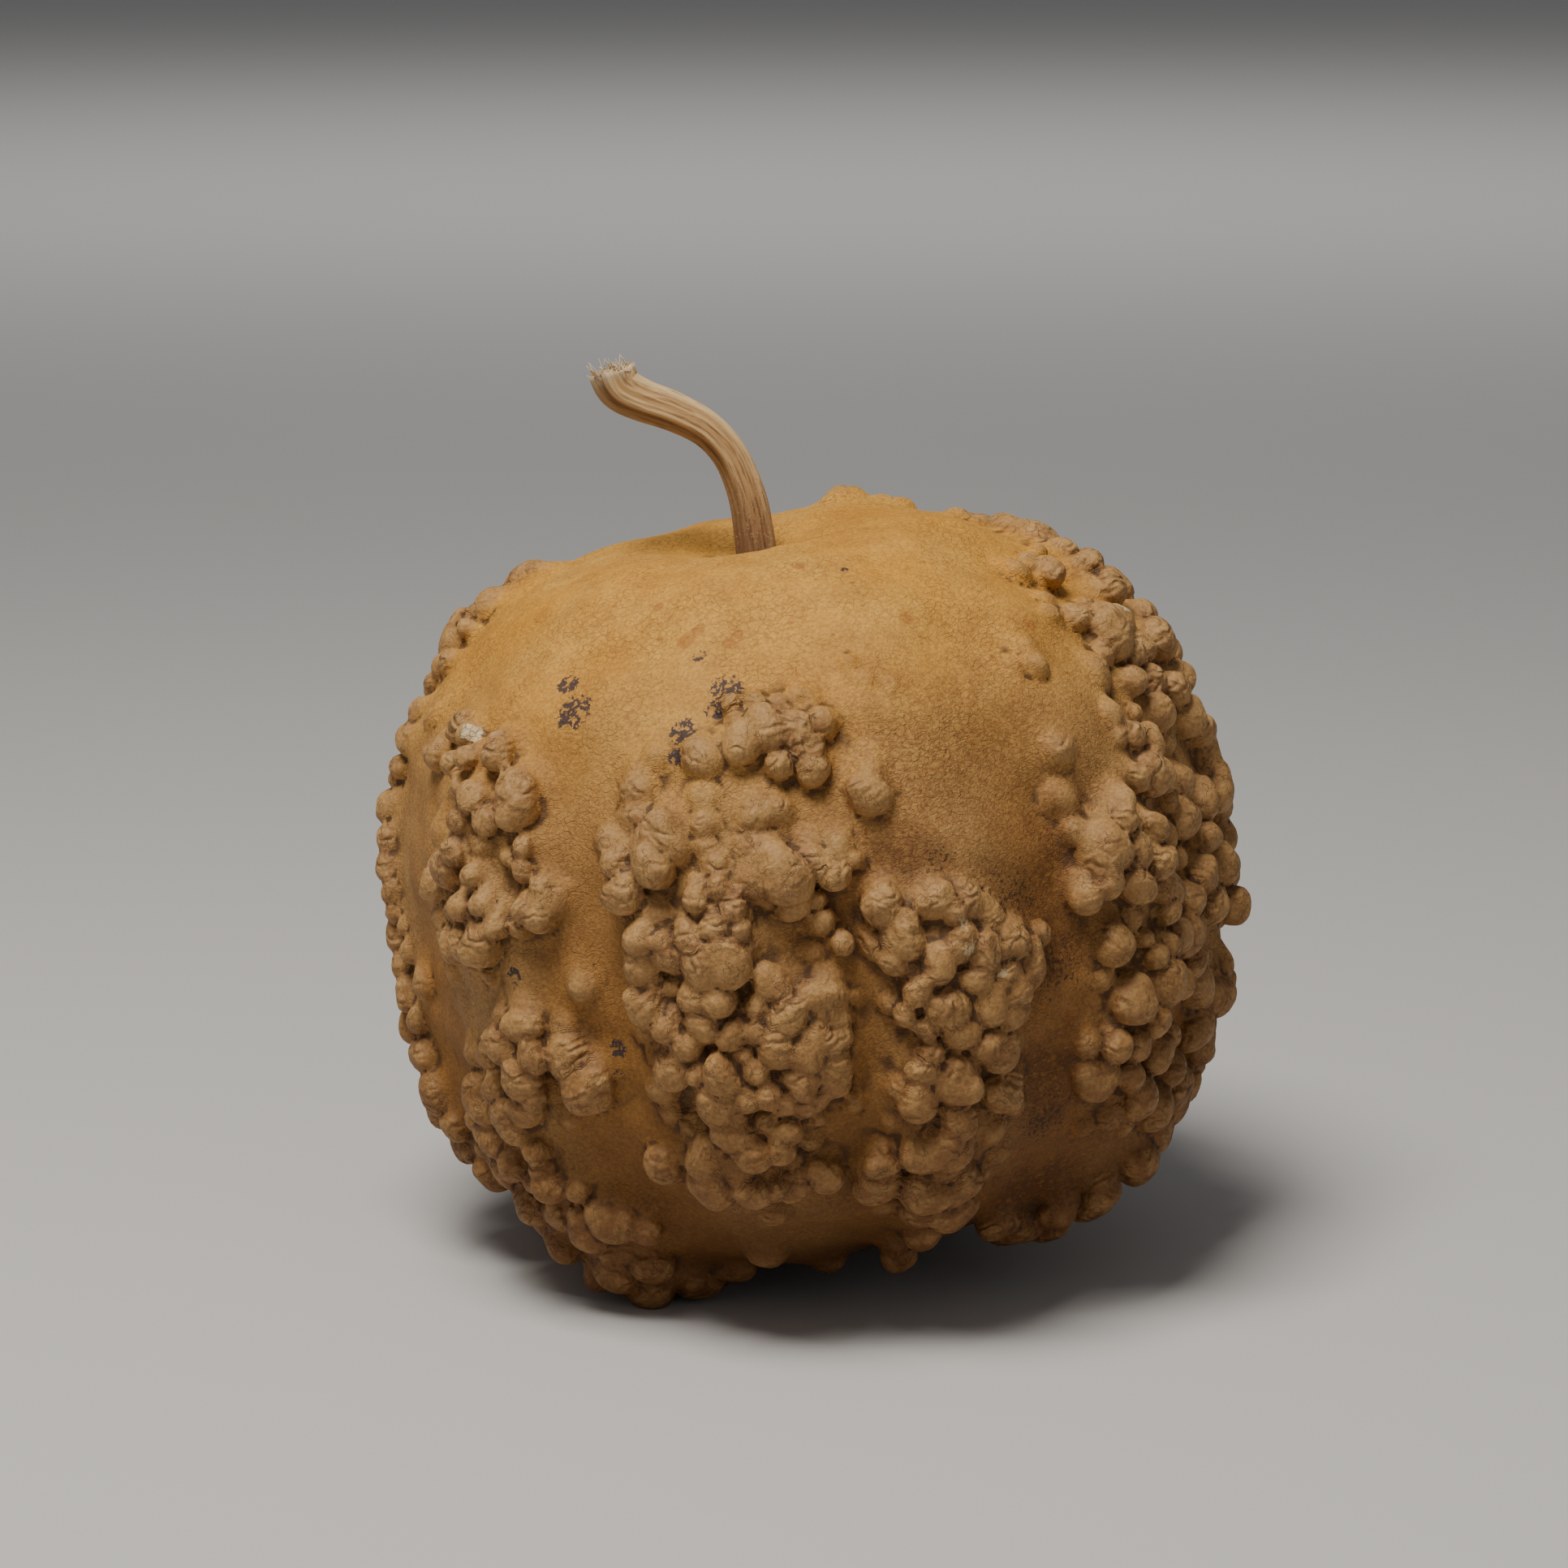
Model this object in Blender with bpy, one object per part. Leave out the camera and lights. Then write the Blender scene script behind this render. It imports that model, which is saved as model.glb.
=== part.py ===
"""A dried warty gourd with its woody stem, lying as it rests on its own warts.

The rind is one grown body: a squat, ten-ribbed fruit that leans to the left, covered along its
ribs with packed, drooping warts. The skin is a formula of azimuth and height angle, every wart
is a bunch of round cones sunk in it, and the sum is one distance field, which is meshed as a
surface net. The stem is a ridged, bent rod with a torn end, standing in a socket in the dimple.

Lengths are in millimetres and angles in degrees up to the last step, which scales to metres.
Azimuth 0 faces the front (-Y) and grows to the right (+X).
"""

import itertools
import math

import bmesh
import bpy
import numpy as np
from mathutils import Matrix, Vector

MM = 0.001

# Driving dimensions of the rind, in mm.
BODY_HALF_WIDTH = 83.0
BODY_HALF_HEIGHT = 75.3
BODY_SQUARENESS = 2.64
CENTRE_HEIGHT = 79.0
CENTRE_SHIFT = (-2.05, 1.68)
LEAN = 9.0
RIB_RISE = 2.6
RIB_HALF_WIDTH = 11.0
SHOULDER_RISE = 2.8
STEM_DIMPLE = 5.0
BLOSSOM_DIMPLE = 4.0

# Driving dimensions of the stem, in mm.
STEM_RADIUS = 4.2
STEM_ROOT_DEPTH = 3.0
STEM_SHIFT = 1.6
SOCKET_RADIUS = 5.2
SOCKET_GAP = 0.3

# How the warts grow together: the blend of a wart's own lobes as a share of their radius, then
# in mm of wart with wart, of their feet, and of the feet with the skin. Creases stop on the feet.
LOBE_BLEND = 0.45
WART_BLEND = 0.3
FOOT_BLEND = 2.5
SKIN_BLEND = 2.5
CREASE_DEPTH = 2.6

# The form of a wart, in shares of its listed radius: its plumpness and its foot's width, how far
# its foot and root lie above and its tip below its place, and the spread of its rise. The way it
# droops turns from straight down by so many radians.
PLUMPNESS = 1.12
FOOT_WIDTH = 1.34
FOOT_UP = 0.35
DROOP_UP = 0.7
DROOP_DOWN = 0.1
DROOP_TURN = 0.6
RISE_SPREAD = (0.82, 1.04)
# Its root and heart: how far the root stands out as a share of the rise and is sunk as a share of
# its plumpness, and the radii of root and heart as shares of the tip's.
ROOT_RISE = 0.35
ROOT_SUNK = 0.75
ROOT_WIDTH = 0.66
HEART_WIDTH = 0.8
# Its bumps: the least radius of a wart with bumps and of one with another more, how often there
# is one more, and their unevenness round the wart in radians. Then their radius, their place
# beside the middle and how deep they are sunk, in shares of the wart's.
MIN_LUMPY = 2.9
MIN_LUMPIER = 3.9
MORE_BUMPS = 0.6
BUMP_UNEVEN = 0.6
BUMP_RADIUS = (0.52, 0.76)
BUMP_ASIDE = (0.4, 0.64)
BUMP_SUNK = (0.0, 0.26)

# How the surface is drawn: the grid's step and its reach beyond the body, and the faces kept.
VOXEL = 2.2
REACH = 17.0
TRIANGLES = 11400
# Slow waves that knead the warts: their length and depth.
KNEAD_WAVES = ((19.0, 0.36), (9.0, 0.12), (5.0, 0.04))
KNEAD_SEED = 3

RIBS = (-88, -49, -11, 20, 52, 88, 124, 160, 197, 234)

# Broad swellings of the skin: azimuth, height angle, half width, half height, rise.
SWELLS = (
    (-46, -46, 15, 13, 6.5), (-78, -22, 10, 13, 3.0), (-50, 12, 11, 22, 1.5),
    (-10, 5, 13, 30, 1.2), (20, -6, 10, 22, 1.5), (52, 0, 10, 26, 1.5),
    (56, -44, 13, 12, 6.0), (85, -22, 13, 20, 3.5), (90, 20, 12, 24, 2.5),
    (124, -38, 12, 15, 4.0), (160, -46, 12, 13, 5.0), (197, -40, 12, 14, 4.5),
    (234, -36, 12, 15, 4.0), (140, 63, 11, 7, 3.0), (-104, 52, 12, 9, 3.0),
)

# Warts read off one by one, rib by rib from the left: azimuth, height angle, radius of the
# lobe, rise above the skin, and how far its tip hangs down and leans right of its root.
LEFT_EDGE_WARTS = (
    (-105, 56, 6.0, 4.5, 1, 0), (-100, 51, 5.0, 5.5, 1, 0), (-100, 48, 2.6, 5.5, 1, 0),
    (-96, 46, 2.0, 5.5, 0, 0), (-100, 44, 4.6, 7.0, 2, 0), (-101, 41, 3.6, 7.0, 1, 0),
    (-95, 40, 2.8, 6.5, 1, 0), (-96, 37, 2.5, 6.0, 1, 0), (-80, 36, 3.8, 2.5, 1, 0),
    (-91, 34, 3.1, 5.0, 1, 0), (-89, 30, 3.2, 5.5, 1, 0), (-91, 26, 2.5, 5.0, 1, 0),
    (-93, 24, 2.0, 5.0, 1, 0), (-92, 20, 3.1, 6.5, 1, 0), (-90, 16, 3.2, 6.0, 0, 0),
    (-89, 12, 2.9, 6.0, 0, 0), (-88, 9, 3.0, 5.5, 1, 0), (-87, 6, 2.6, 5.5, 1, 0),
    (-84, 4, 2.2, 3.5, 0, 0), (-88, 2, 3.5, 6.5, 1, 0), (-82, 1, 2.5, 4.5, 1, 0),
    (-86, -2, 3.0, 6.0, 1, 0), (-77, -2, 4.8, 3.5, 3, 0), (-84, -6, 3.4, 6.0, 1, 0),
    (-80, -9, 3.1, 5.5, 1, 0), (-86, -11, 3.1, 5.5, 1, 0), (-80, -14, 3.8, 6.5, 1, 0),
    (-78, -19, 4.0, 6.5, 1, 0), (-82, -22, 3.6, 6.5, 1, 0), (-75, -23, 3.1, 5.5, 1, 0),
    (-78, -27, 3.6, 6.5, 1, 0), (-74, -31, 3.8, 6.0, 2, 0),
)
LEFT_RIB_WARTS = (
    (-67, 33, 3.6, 5.5, 3, 1), (-61, 36, 3.1, 5.5, 1, 1), (-56, 35, 2.6, 5.5, 1, 1),
    (-52, 32, 2.2, 5.5, 1, 1), (-46, 33, 2.9, 6.0, 3, 1), (-57, 31, 2.6, 6.0, 1, 0),
    (-54, 28, 2.9, 3.5, 0, -1), (-49, 27, 3.1, 5.5, 1, 1), (-41, 27, 4.8, 5.5, 3, 1),
    (-50, 24, 2.6, 5.5, 1, -1), (-46, 24, 2.9, 6.0, 1, 2), (-53, 22, 2.2, 3.0, 1, 0),
    (-46, 21, 2.4, 3.5, 1, -1), (-61, 23, 4.3, 2.5, 3, 0), (-61, 18, 4.1, 2.5, 3, 0),
    (-51, 20, 2.6, 5.5, 1, 0), (-54, 18, 3.8, 6.5, 2, 1), (-59, 15, 2.9, 5.5, 2, 1),
    (-39, 21, 2.3, 3.5, 1, 0), (-42, 19, 1.8, 3.0, 0, 0), (-39, 18, 2.5, 3.5, 1, -1),
    (-47, 17, 2.2, 5.5, 0, -1), (-46, 14, 2.8, 5.5, 2, 0), (-36, 16, 2.4, 5.5, 2, 0),
    (-39, 13, 2.4, 5.5, 2, 0), (-35, 13, 3.4, 6.5, 3, -5), (-50, 13, 2.9, 5.5, 1, 0),
    (-54, 12, 2.9, 3.5, 1, 1), (-59, 11, 3.8, 3.0, 2, 0), (-44, 11, 2.8, 5.5, 3, 0),
    (-41, 10, 2.3, 3.5, 1, 0), (-59, 8, 2.6, 3.0, 1, 2), (-55, 7, 3.1, 5.5, 2, 1),
    (-51, 8, 3.0, 5.5, 1, 0), (-47, 8, 4.1, 6.0, 1, 0), (-50, 4, 2.4, 2.5, 1, 0),
    (-47, 3, 1.8, 2.5, 0, 0), (-60, 3, 4.8, 2.0, 3, 0), (-32, 3, 4.6, 2.5, 2, 0),
    (-46, -2, 2.2, 3.0, 1, 1), (-42, -3, 3.8, 6.5, 1, 0), (-37, -3, 3.8, 2.5, 2, 0),
    (-46, -6, 3.8, 6.0, 1, 0), (-41, -7, 3.1, 6.5, 1, 0), (-44, -10, 3.8, 7.0, 2, 0),
    (-36, -8, 4.8, 6.5, 1, -1), (-34, -12, 5.2, 7.5, 2, 0), (-52, -9, 3.1, 3.5, 1, 0),
    (-57, -8, 3.8, 3.0, 4, 0), (-43, -13, 2.4, 6.5, 1, 0), (-51, -13, 3.1, 5.5, 1, 0),
    (-45, -15, 3.5, 6.0, 1, 0), (-49, -17, 4.1, 6.5, 2, 0), (-39, -17, 2.8, 3.0, 3, 0),
    (-46, -21, 2.9, 6.0, 1, 0), (-58, -16, 4.6, 5.5, 2, 0), (-57, -21, 3.8, 6.5, 2, 0),
    (-65, -20, 2.6, 5.5, 2, 0), (-65, -25, 2.4, 6.0, 0, 0), (-53, -24, 3.8, 6.5, 1, 0),
    (-47, -24, 3.1, 6.5, 1, 1), (-50, -27, 2.8, 6.0, 1, 0), (-46, -27, 3.5, 7.0, 1, 0),
    (-42, -28, 2.4, 5.5, 1, 0), (-61, -27, 4.8, 6.5, 3, 0), (-56, -32, 4.3, 6.5, 2, 0),
    (-60, -37, 4.8, 6.5, 2, 0), (-62, -42, 4.6, 6.5, 3, 0), (-50, -33, 4.1, 5.5, 1, 0),
    (-44, -34, 4.2, 6.5, 1, 0), (-38, -33, 4.3, 6.5, 1, 0), (-34, -35, 3.1, 5.5, 1, 0),
    (-55, -39, 3.8, 7.0, 1, 1), (-50, -43, 3.2, 6.5, 2, 0), (-45, -42, 5.2, 6.5, 2, 0),
    (-38, -42, 3.8, 6.0, 1, 0), (-58, -48, 4.0, 6.5, 2, 0), (-51, -50, 4.1, 7.0, 2, 0),
    (-36, -50, 4.1, 6.5, 3, 0), (-28, -51, 3.6, 4.5, 1, 0), (-42, -56, 4.3, 5.5, 1, 0),
    (-66, -50, 4.1, 5.5, 1, 0), (-55, -57, 3.8, 5.5, 1, 0),
)
MIDDLE_RIB_WARTS = (
    (-5, 38, 2.5, 3.0, 1, 0), (-1, 37, 2.6, 3.5, 1, 0), (3, 37, 2.0, 3.0, 0, 0),
    (7, 38, 4.8, 2.5, 2, 0), (8, 34, 3.3, 4.5, 1, 0), (-4, 35, 2.4, 3.5, 0, 0),
    (-4, 32, 3.4, 6.0, 1, 0), (0, 33, 3.6, 6.5, 1, 0), (4, 33, 3.6, 6.5, 1, 0),
    (5, 31, 3.4, 6.0, 1, 0), (1, 29, 2.6, 5.5, 1, 0), (6, 28, 3.0, 5.0, 1, -1),
    (-10, 32, 4.6, 4.0, 2, 0), (-17, 32, 4.3, 2.0, 1, 0), (-20, 29, 4.6, 2.5, 2, 0),
    (-20, 25, 4.6, 2.5, 1, 0), (-24, 22, 4.3, 3.5, 1, -2), (-21, 21, 3.8, 3.0, 1, 0),
    (-10, 27, 4.8, 2.5, 2, 0), (-10, 23, 3.8, 3.5, 1, 0), (-15, 23, 3.0, 2.0, 1, 0),
    (-3, 23, 4.3, 3.5, 1, 0), (0, 23, 4.1, 3.5, 1, 0), (-10, 20, 3.0, 2.5, 1, 0),
    (-16, 21, 5.0, 5.5, 1, 0), (-17, 18, 3.8, 7.5, 2, 0), (-22, 19, 2.8, 5.5, 1, -3),
    (-22, 15, 3.8, 7.0, 1, -1), (-9, 18, 3.6, 3.0, 1, 0), (-5, 19, 2.9, 3.0, 0, 1),
    (-3, 17, 3.5, 6.5, 0, 3), (-2, 14, 4.6, 8.0, -1, 4), (-1, 11, 3.0, 6.5, 0, 3),
    (3, 19, 4.3, 3.5, 1, 1), (6, 18, 4.8, 3.0, 1, 0), (4, 16, 2.9, 5.5, 1, 0),
    (6, 14, 2.9, 6.0, 1, 0), (9, 15, 1.8, 2.5, 0, 0), (-12, 14, 2.4, 6.0, 2, 0),
    (-9, 15, 1.9, 5.5, 1, 0), (-8, 12, 2.5, 5.5, 2, 1), (-18, 12, 4.1, 3.5, 1, 0),
    (-20, 9, 3.8, 6.5, 2, 0), (-17, 8, 2.2, 6.0, 0, 0), (-13, 9, 3.8, 7.0, 2, 0),
    (-10, 10, 2.9, 6.0, 1, 0), (-7, 9, 2.2, 5.5, 1, 0), (-16, 7, 3.1, 5.5, 3, 0),
    (-12, 5, 4.1, 7.0, 0, 0), (-9, 5, 4.3, 8.0, 0, 1), (-7, 6, 2.0, 5.5, 0, 1),
    (-2, 8, 4.4, 1.0, 2, 0), (3, 11, 2.0, 3.0, 1, 0), (3, 8, 2.4, 4.0, 1, 1),
    (-21, 5, 3.8, 6.0, 1, 0), (5, 4, 2.2, 5.0, -1, 2), (1, 4, 2.2, 2.0, 0, 2),
    (-21, 0, 3.6, 6.5, 2, 0), (-18, -3, 2.6, 7.5, 1, -1), (-23, -4, 3.4, 2.5, 2, 0),
    (-17, 2, 1.9, 3.0, 0, 0), (-14, 1, 3.6, 7.0, 0, 1), (-12, 3, 2.9, 5.5, 0, 1),
    (-12, 0, 3.4, 6.5, 0, 2), (-14, -3, 3.4, 6.5, 1, 2), (2, -2, 4.4, 6.0, 1, 0),
    (6, -3, 2.2, 3.0, 1, 0), (-4, 1, 3.6, 5.5, 1, 0), (-3, -3, 3.8, 7.5, 2, 0),
    (-6, -2, 2.9, 5.5, 0, -1), (-7, -5, 2.8, 6.0, 0, 0), (-10, -5, 3.1, 6.0, 1, 0),
    (-5, -7, 3.6, 7.5, 1, 0), (-9, -8, 1.9, 6.0, 0, 0), (1, -4, 3.6, 6.0, 1, 2),
    (-1, -8, 4.1, 7.0, 2, -1), (3, -5, 3.4, 6.0, 1, 0), (2, -8, 3.4, 6.5, 1, 0),
    (2, -11, 3.6, 7.0, 2, 0), (-3, -12, 3.1, 6.5, 0, 1), (-7, -13, 2.8, 6.0, 1, -1),
    (-8, -10, 2.8, 6.0, 0, 0), (2, -14, 2.9, 5.5, 1, 0), (-17, -6, 2.8, 6.5, 0, 3),
    (-19, -9, 3.6, 6.5, 1, 0), (-22, -7, 2.8, 2.5, 2, 0), (-23, -12, 4.1, 3.0, 1, 0),
    (-22, -16, 3.1, 2.5, 1, 0), (-15, -9, 2.3, 6.0, 2, -2), (-12, -10, 3.6, 7.5, 1, 0),
    (-13, -14, 4.1, 7.0, 1, -1), (-10, -13, 2.9, 6.5, 1, 0), (-12, -16, 2.4, 6.0, 0, 1),
    (-19, -18, 2.3, 2.5, 2, 0), (-8, -17, 2.4, 6.0, 1, 0), (-6, -15, 2.9, 6.0, 0, 2),
    (-2, -16, 3.5, 5.5, 0, 1), (1, -15, 2.0, 3.5, 0, 1), (4, -17, 2.4, 3.0, 2, 0),
    (-12, -19, 3.8, 6.5, 0, 0), (-11, -21, 3.6, 7.0, 1, 0), (-6, -19, 2.9, 6.0, 0, 1),
    (-7, -21, 3.1, 6.5, 1, 0), (-1, -19, 2.0, 3.5, 0, 0), (-3, -22, 2.4, 3.0, 1, 0),
    (-6, -24, 2.6, 3.5, 1, 0), (-17, -22, 4.1, 6.5, 1, 0), (-18, -26, 4.8, 8.0, 2, 0),
    (-25, -24, 3.8, 5.5, 1, 0), (-22, -23, 3.1, 2.5, 1, 0), (-26, -27, 3.8, 2.0, 1, 0),
    (-13, -24, 3.1, 6.0, 0, -1), (-12, -27, 3.8, 7.5, 0, 2), (-9, -27, 2.6, 6.5, 0, 1),
    (-6, -28, 3.4, 6.0, 1, -1), (-3, -27, 3.8, 6.0, 2, 1), (-15, -31, 3.6, 2.5, 1, 0),
    (-11, -33, 4.1, 3.0, 1, 0), (7, -27, 3.1, 5.5, 1, 0), (6, -30, 4.8, 7.5, 2, 0),
    (6, -36, 4.8, 2.5, 1, 0), (9, -21, 2.8, 2.0, 1, 0), (-17, -45, 4.4, 4.0, 1, 1),
    (-8, -56, 4.0, 3.5, 1, 1),
)
CENTRE_RIGHT_RIB_WARTS = (
    (15, 41, 2.4, 1.5, 1, 1), (17, 38, 3.4, 1.5, 1, 0), (21, 37, 3.6, 1.5, 1, 0),
    (14, 26, 4.4, 2.0, 1, 0), (13, 23, 4.0, 4.5, 1, 0), (12, 9, 3.8, 6.0, 2, 0),
    (18, 8, 3.6, 5.5, 0, 2), (22, 7, 3.6, 6.0, 1, 2), (14, 5, 4.1, 7.5, 2, -1),
    (20, 6, 2.5, 7.0, 0, 1), (25, 5, 3.8, 6.0, 2, 0), (10, 4, 2.6, 3.5, 2, 0),
    (12, 2, 3.0, 6.0, 1, 1), (14, 1, 2.6, 3.5, 2, 1), (20, 2, 3.1, 7.5, 0, 2),
    (17, 1, 2.8, 6.0, 0, 2), (17, -1, 2.9, 7.0, 0, 2), (15, -3, 2.9, 6.5, 0, -1),
    (23, 0, 3.4, 8.0, 1, 0), (25, -3, 3.8, 7.0, 2, 0), (27, 2, 2.9, 5.5, 1, 0),
    (28, 0, 3.8, 6.5, 1, 0), (33, -1, 2.6, 3.5, 0, 4), (26, 0, 2.9, 6.5, 0, -1),
    (27, -6, 3.5, 6.5, 1, -1), (30, -4, 4.6, 5.5, 1, 1), (11, -4, 2.4, 3.0, 1, -1),
    (13, -6, 2.3, 5.5, 0, -1), (18, -6, 3.8, 7.0, 1, 0), (15, -8, 2.4, 6.0, 1, 0),
    (19, -9, 3.6, 6.5, 1, 0), (23, -6, 3.6, 7.5, 1, 0), (26, -9, 3.4, 6.0, 1, 1),
    (22, -3, 3.1, 7.0, 1, 0), (15, -12, 2.8, 5.5, 0, 0), (14, -14, 3.4, 6.5, 0, -1),
    (18, -16, 4.6, 8.0, 1, 0), (12, -18, 3.8, 7.5, 1, 2), (17, -21, 3.8, 6.5, 1, 0),
    (22, -12, 3.4, 6.0, 0, 1), (25, -14, 4.1, 6.5, 1, 0), (25, -20, 4.1, 5.5, 1, 0),
    (27, -23, 2.8, 3.0, 1, 0), (23, -26, 3.6, 3.5, 1, 0), (25, -30, 3.4, 3.0, 1, 0),
    (14, -25, 5.0, 7.5, 1, 0), (17, -26, 3.8, 6.5, 1, 0), (16, -29, 2.9, 6.0, 1, 0),
    (13, -32, 4.3, 7.0, 1, 0), (18, -32, 4.1, 6.5, 1, 0), (22, -32, 3.1, 3.0, 1, 0),
    (17, -38, 4.6, 6.5, 1, 0), (12, -37, 3.6, 5.5, 1, 0), (14, -44, 3.8, 6.5, 1, 0),
    (10, -51, 3.6, 6.0, 2, 0),
)
RIGHT_RIB_WARTS = (
    (48, 37, 4.1, 1.5, 1, 0), (48, 34, 3.8, 2.5, 1, 0), (44, 35, 4.3, 1.5, 1, 0),
    (45, 23, 5.3, 2.5, 1, 0), (43, 16, 4.6, 3.0, 1, 0), (43, 12, 3.1, 3.5, 1, 0),
    (56, 15, 2.6, 5.5, 1, 2), (52, 13, 2.6, 5.5, 1, -3), (50, 11, 3.1, 5.5, 1, 0),
    (60, 20, 3.1, 5.5, 1, 0), (63, 18, 3.1, 7.0, 1, 0), (61, 15, 4.1, 7.5, 1, 0),
    (57, 21, 3.8, 2.5, 1, 0), (58, 24, 4.1, 3.0, 1, 0), (61, 30, 5.0, 3.5, 1, 0),
    (46, 8, 5.0, 6.5, 1, 0), (45, 4, 3.6, 7.0, 1, 0), (42, 3, 3.2, 6.5, 1, 0),
    (53, 9, 2.4, 3.0, 0, 0), (57, 8, 3.6, 6.5, 1, 0), (51, 6, 3.6, 6.0, 1, 0),
    (50, 2, 3.4, 6.5, 1, 0), (56, 4, 3.0, 7.0, 3, -1), (58, 0, 3.8, 6.0, 1, 0),
    (53, 1, 3.1, 3.5, 1, 0), (50, -2, 2.9, 2.5, 1, 0), (46, -5, 3.6, 5.5, 1, 0),
    (52, -6, 1.9, 3.0, 0, 0), (53, -9, 2.5, 5.5, 0, 0), (57, -9, 2.8, 5.5, 0, 0),
    (58, -4, 2.8, 5.5, 1, 0), (45, -10, 3.6, 2.5, 1, 0), (48, -13, 4.3, 6.5, 1, 0),
    (55, -13, 4.3, 7.0, 1, 0), (52, -17, 2.9, 7.0, 2, 0), (60, -15, 2.9, 6.5, 1, 0),
    (45, -19, 3.0, 6.0, 1, 0), (49, -20, 3.1, 5.5, 0, 0), (41, -18, 3.6, 3.5, 1, 0),
    (42, -23, 4.6, 5.5, 4, 0), (48, -24, 3.0, 6.5, 1, 0), (54, -23, 3.1, 6.0, 1, -1),
    (58, -22, 2.8, 6.0, 0, 0), (54, -19, 2.4, 3.5, 0, 0), (50, -28, 4.3, 6.5, 1, 0),
    (46, -30, 3.6, 3.5, 1, 0), (42, -31, 3.4, 2.0, 1, 0), (50, -33, 2.8, 3.0, 0, 0),
    (56, -32, 4.1, 6.5, 1, 0), (60, -27, 3.6, 6.0, 1, 0), (55, -38, 3.8, 6.5, 1, 0),
    (60, -36, 4.6, 6.5, 1, 0), (62, -42, 4.8, 7.0, 1, 0), (51, -43, 3.8, 6.5, 1, 0),
    (55, -48, 4.3, 7.0, 1, 0), (46, -48, 3.6, 6.5, 1, 0), (50, -53, 4.1, 7.0, 1, 0),
    (40, -52, 4.8, 7.5, 1, 0), (33, -49, 3.6, 7.0, 1, 0), (65, -32, 3.1, 6.5, 1, 0),
)
RIGHT_EDGE_WARTS = (
    (141, 66, 6.4, 2.5, 0, 3), (133, 62, 4.0, 1.5, 0, 0), (129, 60, 4.0, 1.5, 0, 0),
    (118, 54, 3.8, 3.5, 0, 0), (114, 52, 2.4, 3.0, 0, 0), (108, 49, 2.2, 3.0, 0, 0),
    (103, 47, 3.8, 5.5, 0, 0),
    (70, 48, 3.6, 3.0, 1, 0), (76, 47, 3.1, 3.5, 0, 0), (85, 47, 2.4, 3.0, 0, 0),
    (100, 45, 4.3, 6.5, 0, 0), (94, 43, 3.6, 6.5, 0, 0), (75, 44, 3.1, 5.5, 1, 0),
    (66, 42, 4.1, 2.5, 1, 0), (62, 40, 3.6, 2.5, 1, 0), (96, 39, 3.6, 7.5, 0, 0),
    (88, 40, 2.9, 6.5, 0, 0), (66, 37, 3.1, 5.5, 1, -1), (68, 35, 2.8, 3.5, 1, 0),
    (71, 33, 5.0, 7.5, 1, -2), (76, 37, 2.3, 3.0, 0, 0), (85, 36, 3.4, 6.5, 0, 0),
    (96, 34, 3.6, 7.5, 0, 0), (79, 33, 3.1, 5.5, 1, 0), (66, 31, 2.9, 3.5, 0, 0),
    (91, 30, 3.6, 6.5, 0, 0), (74, 29, 3.1, 5.5, 0, 0), (80, 28, 2.9, 5.5, 0, 0),
    (86, 27, 4.1, 7.5, 0, 0), (92, 24, 3.6, 7.5, 0, 0), (88, 21, 3.4, 6.5, 0, 0),
    (69, 26, 3.0, 6.0, 0, 0), (76, 24, 3.4, 5.5, 0, 0), (81, 21, 3.1, 6.5, 0, 0),
    (66, 22, 2.4, 3.5, 0, 0), (73, 20, 3.8, 5.5, 0, 0), (83, 17, 3.6, 6.5, 0, 0),
    (75, 16, 3.6, 3.0, 0, 0), (86, 14, 3.6, 7.0, 0, 0), (88, 10, 3.8, 7.5, 1, 0),
    (75, 10, 3.6, 5.5, 0, 0), (68, 12, 3.1, 5.5, 0, 0), (70, 8, 2.8, 3.0, 0, 0),
    (88, 5, 4.8, 8.0, 0, 0), (91, 2, 4.1, 8.5, 0, 0), (82, 5, 3.6, 5.5, 0, 0),
    (73, 5, 4.1, 5.5, 0, 1), (67, 4, 3.6, 3.0, 0, 0), (92, -3, 3.8, 8.0, 0, 0),
    (80, 0, 3.6, 6.5, 0, 0), (85, -5, 4.1, 7.5, 0, 0), (93, -8, 4.1, 7.5, 0, 0),
    (65, 1, 2.8, 3.5, 0, 0), (70, 0, 2.8, 3.5, 0, 0), (75, -4, 4.1, 6.5, 0, 0),
    (63, -3, 3.6, 5.5, 0, 0), (69, -6, 3.6, 6.0, 0, 0), (77, -9, 3.8, 6.5, 0, 0),
    (66, -10, 4.8, 6.0, 0, 0), (61, -9, 3.4, 6.5, 0, 0), (86, -11, 3.6, 7.5, 0, 0),
    (72, -19, 4.8, 6.5, 0, 0),
)

# Where warts aren't read off, on the far side and underneath, they are drawn by a rule:
# azimuth of the bunch, half width, lowest and highest height angle, number tried for.
DRAWN_BUNCHES = (
    (86, 20, -44, -8, 34), (103, 9, -8, 40, 20), (-100, 11, -40, 46, 42),
    (124, 12, -50, 48, 58), (160, 12, -52, 44, 54), (197, 12, -52, 46, 54),
    (234, 12, -50, 46, 56),
)
DRAW_SEED = 41
DRAW_TRIES = 60
DRAWN_RADIUS = (2.4, 5.2)
LOBE_SEED = 5

# The three low warts that the fruit rests on: place on the ground, from under its centre.
FEET = ((-32, -45), (32, 14), (-22, 36))
FOOT_RADIUS = 5.8
FOOT_ROOT_RADIUS = 7.8
FOOT_FLAT = 1.4

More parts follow.
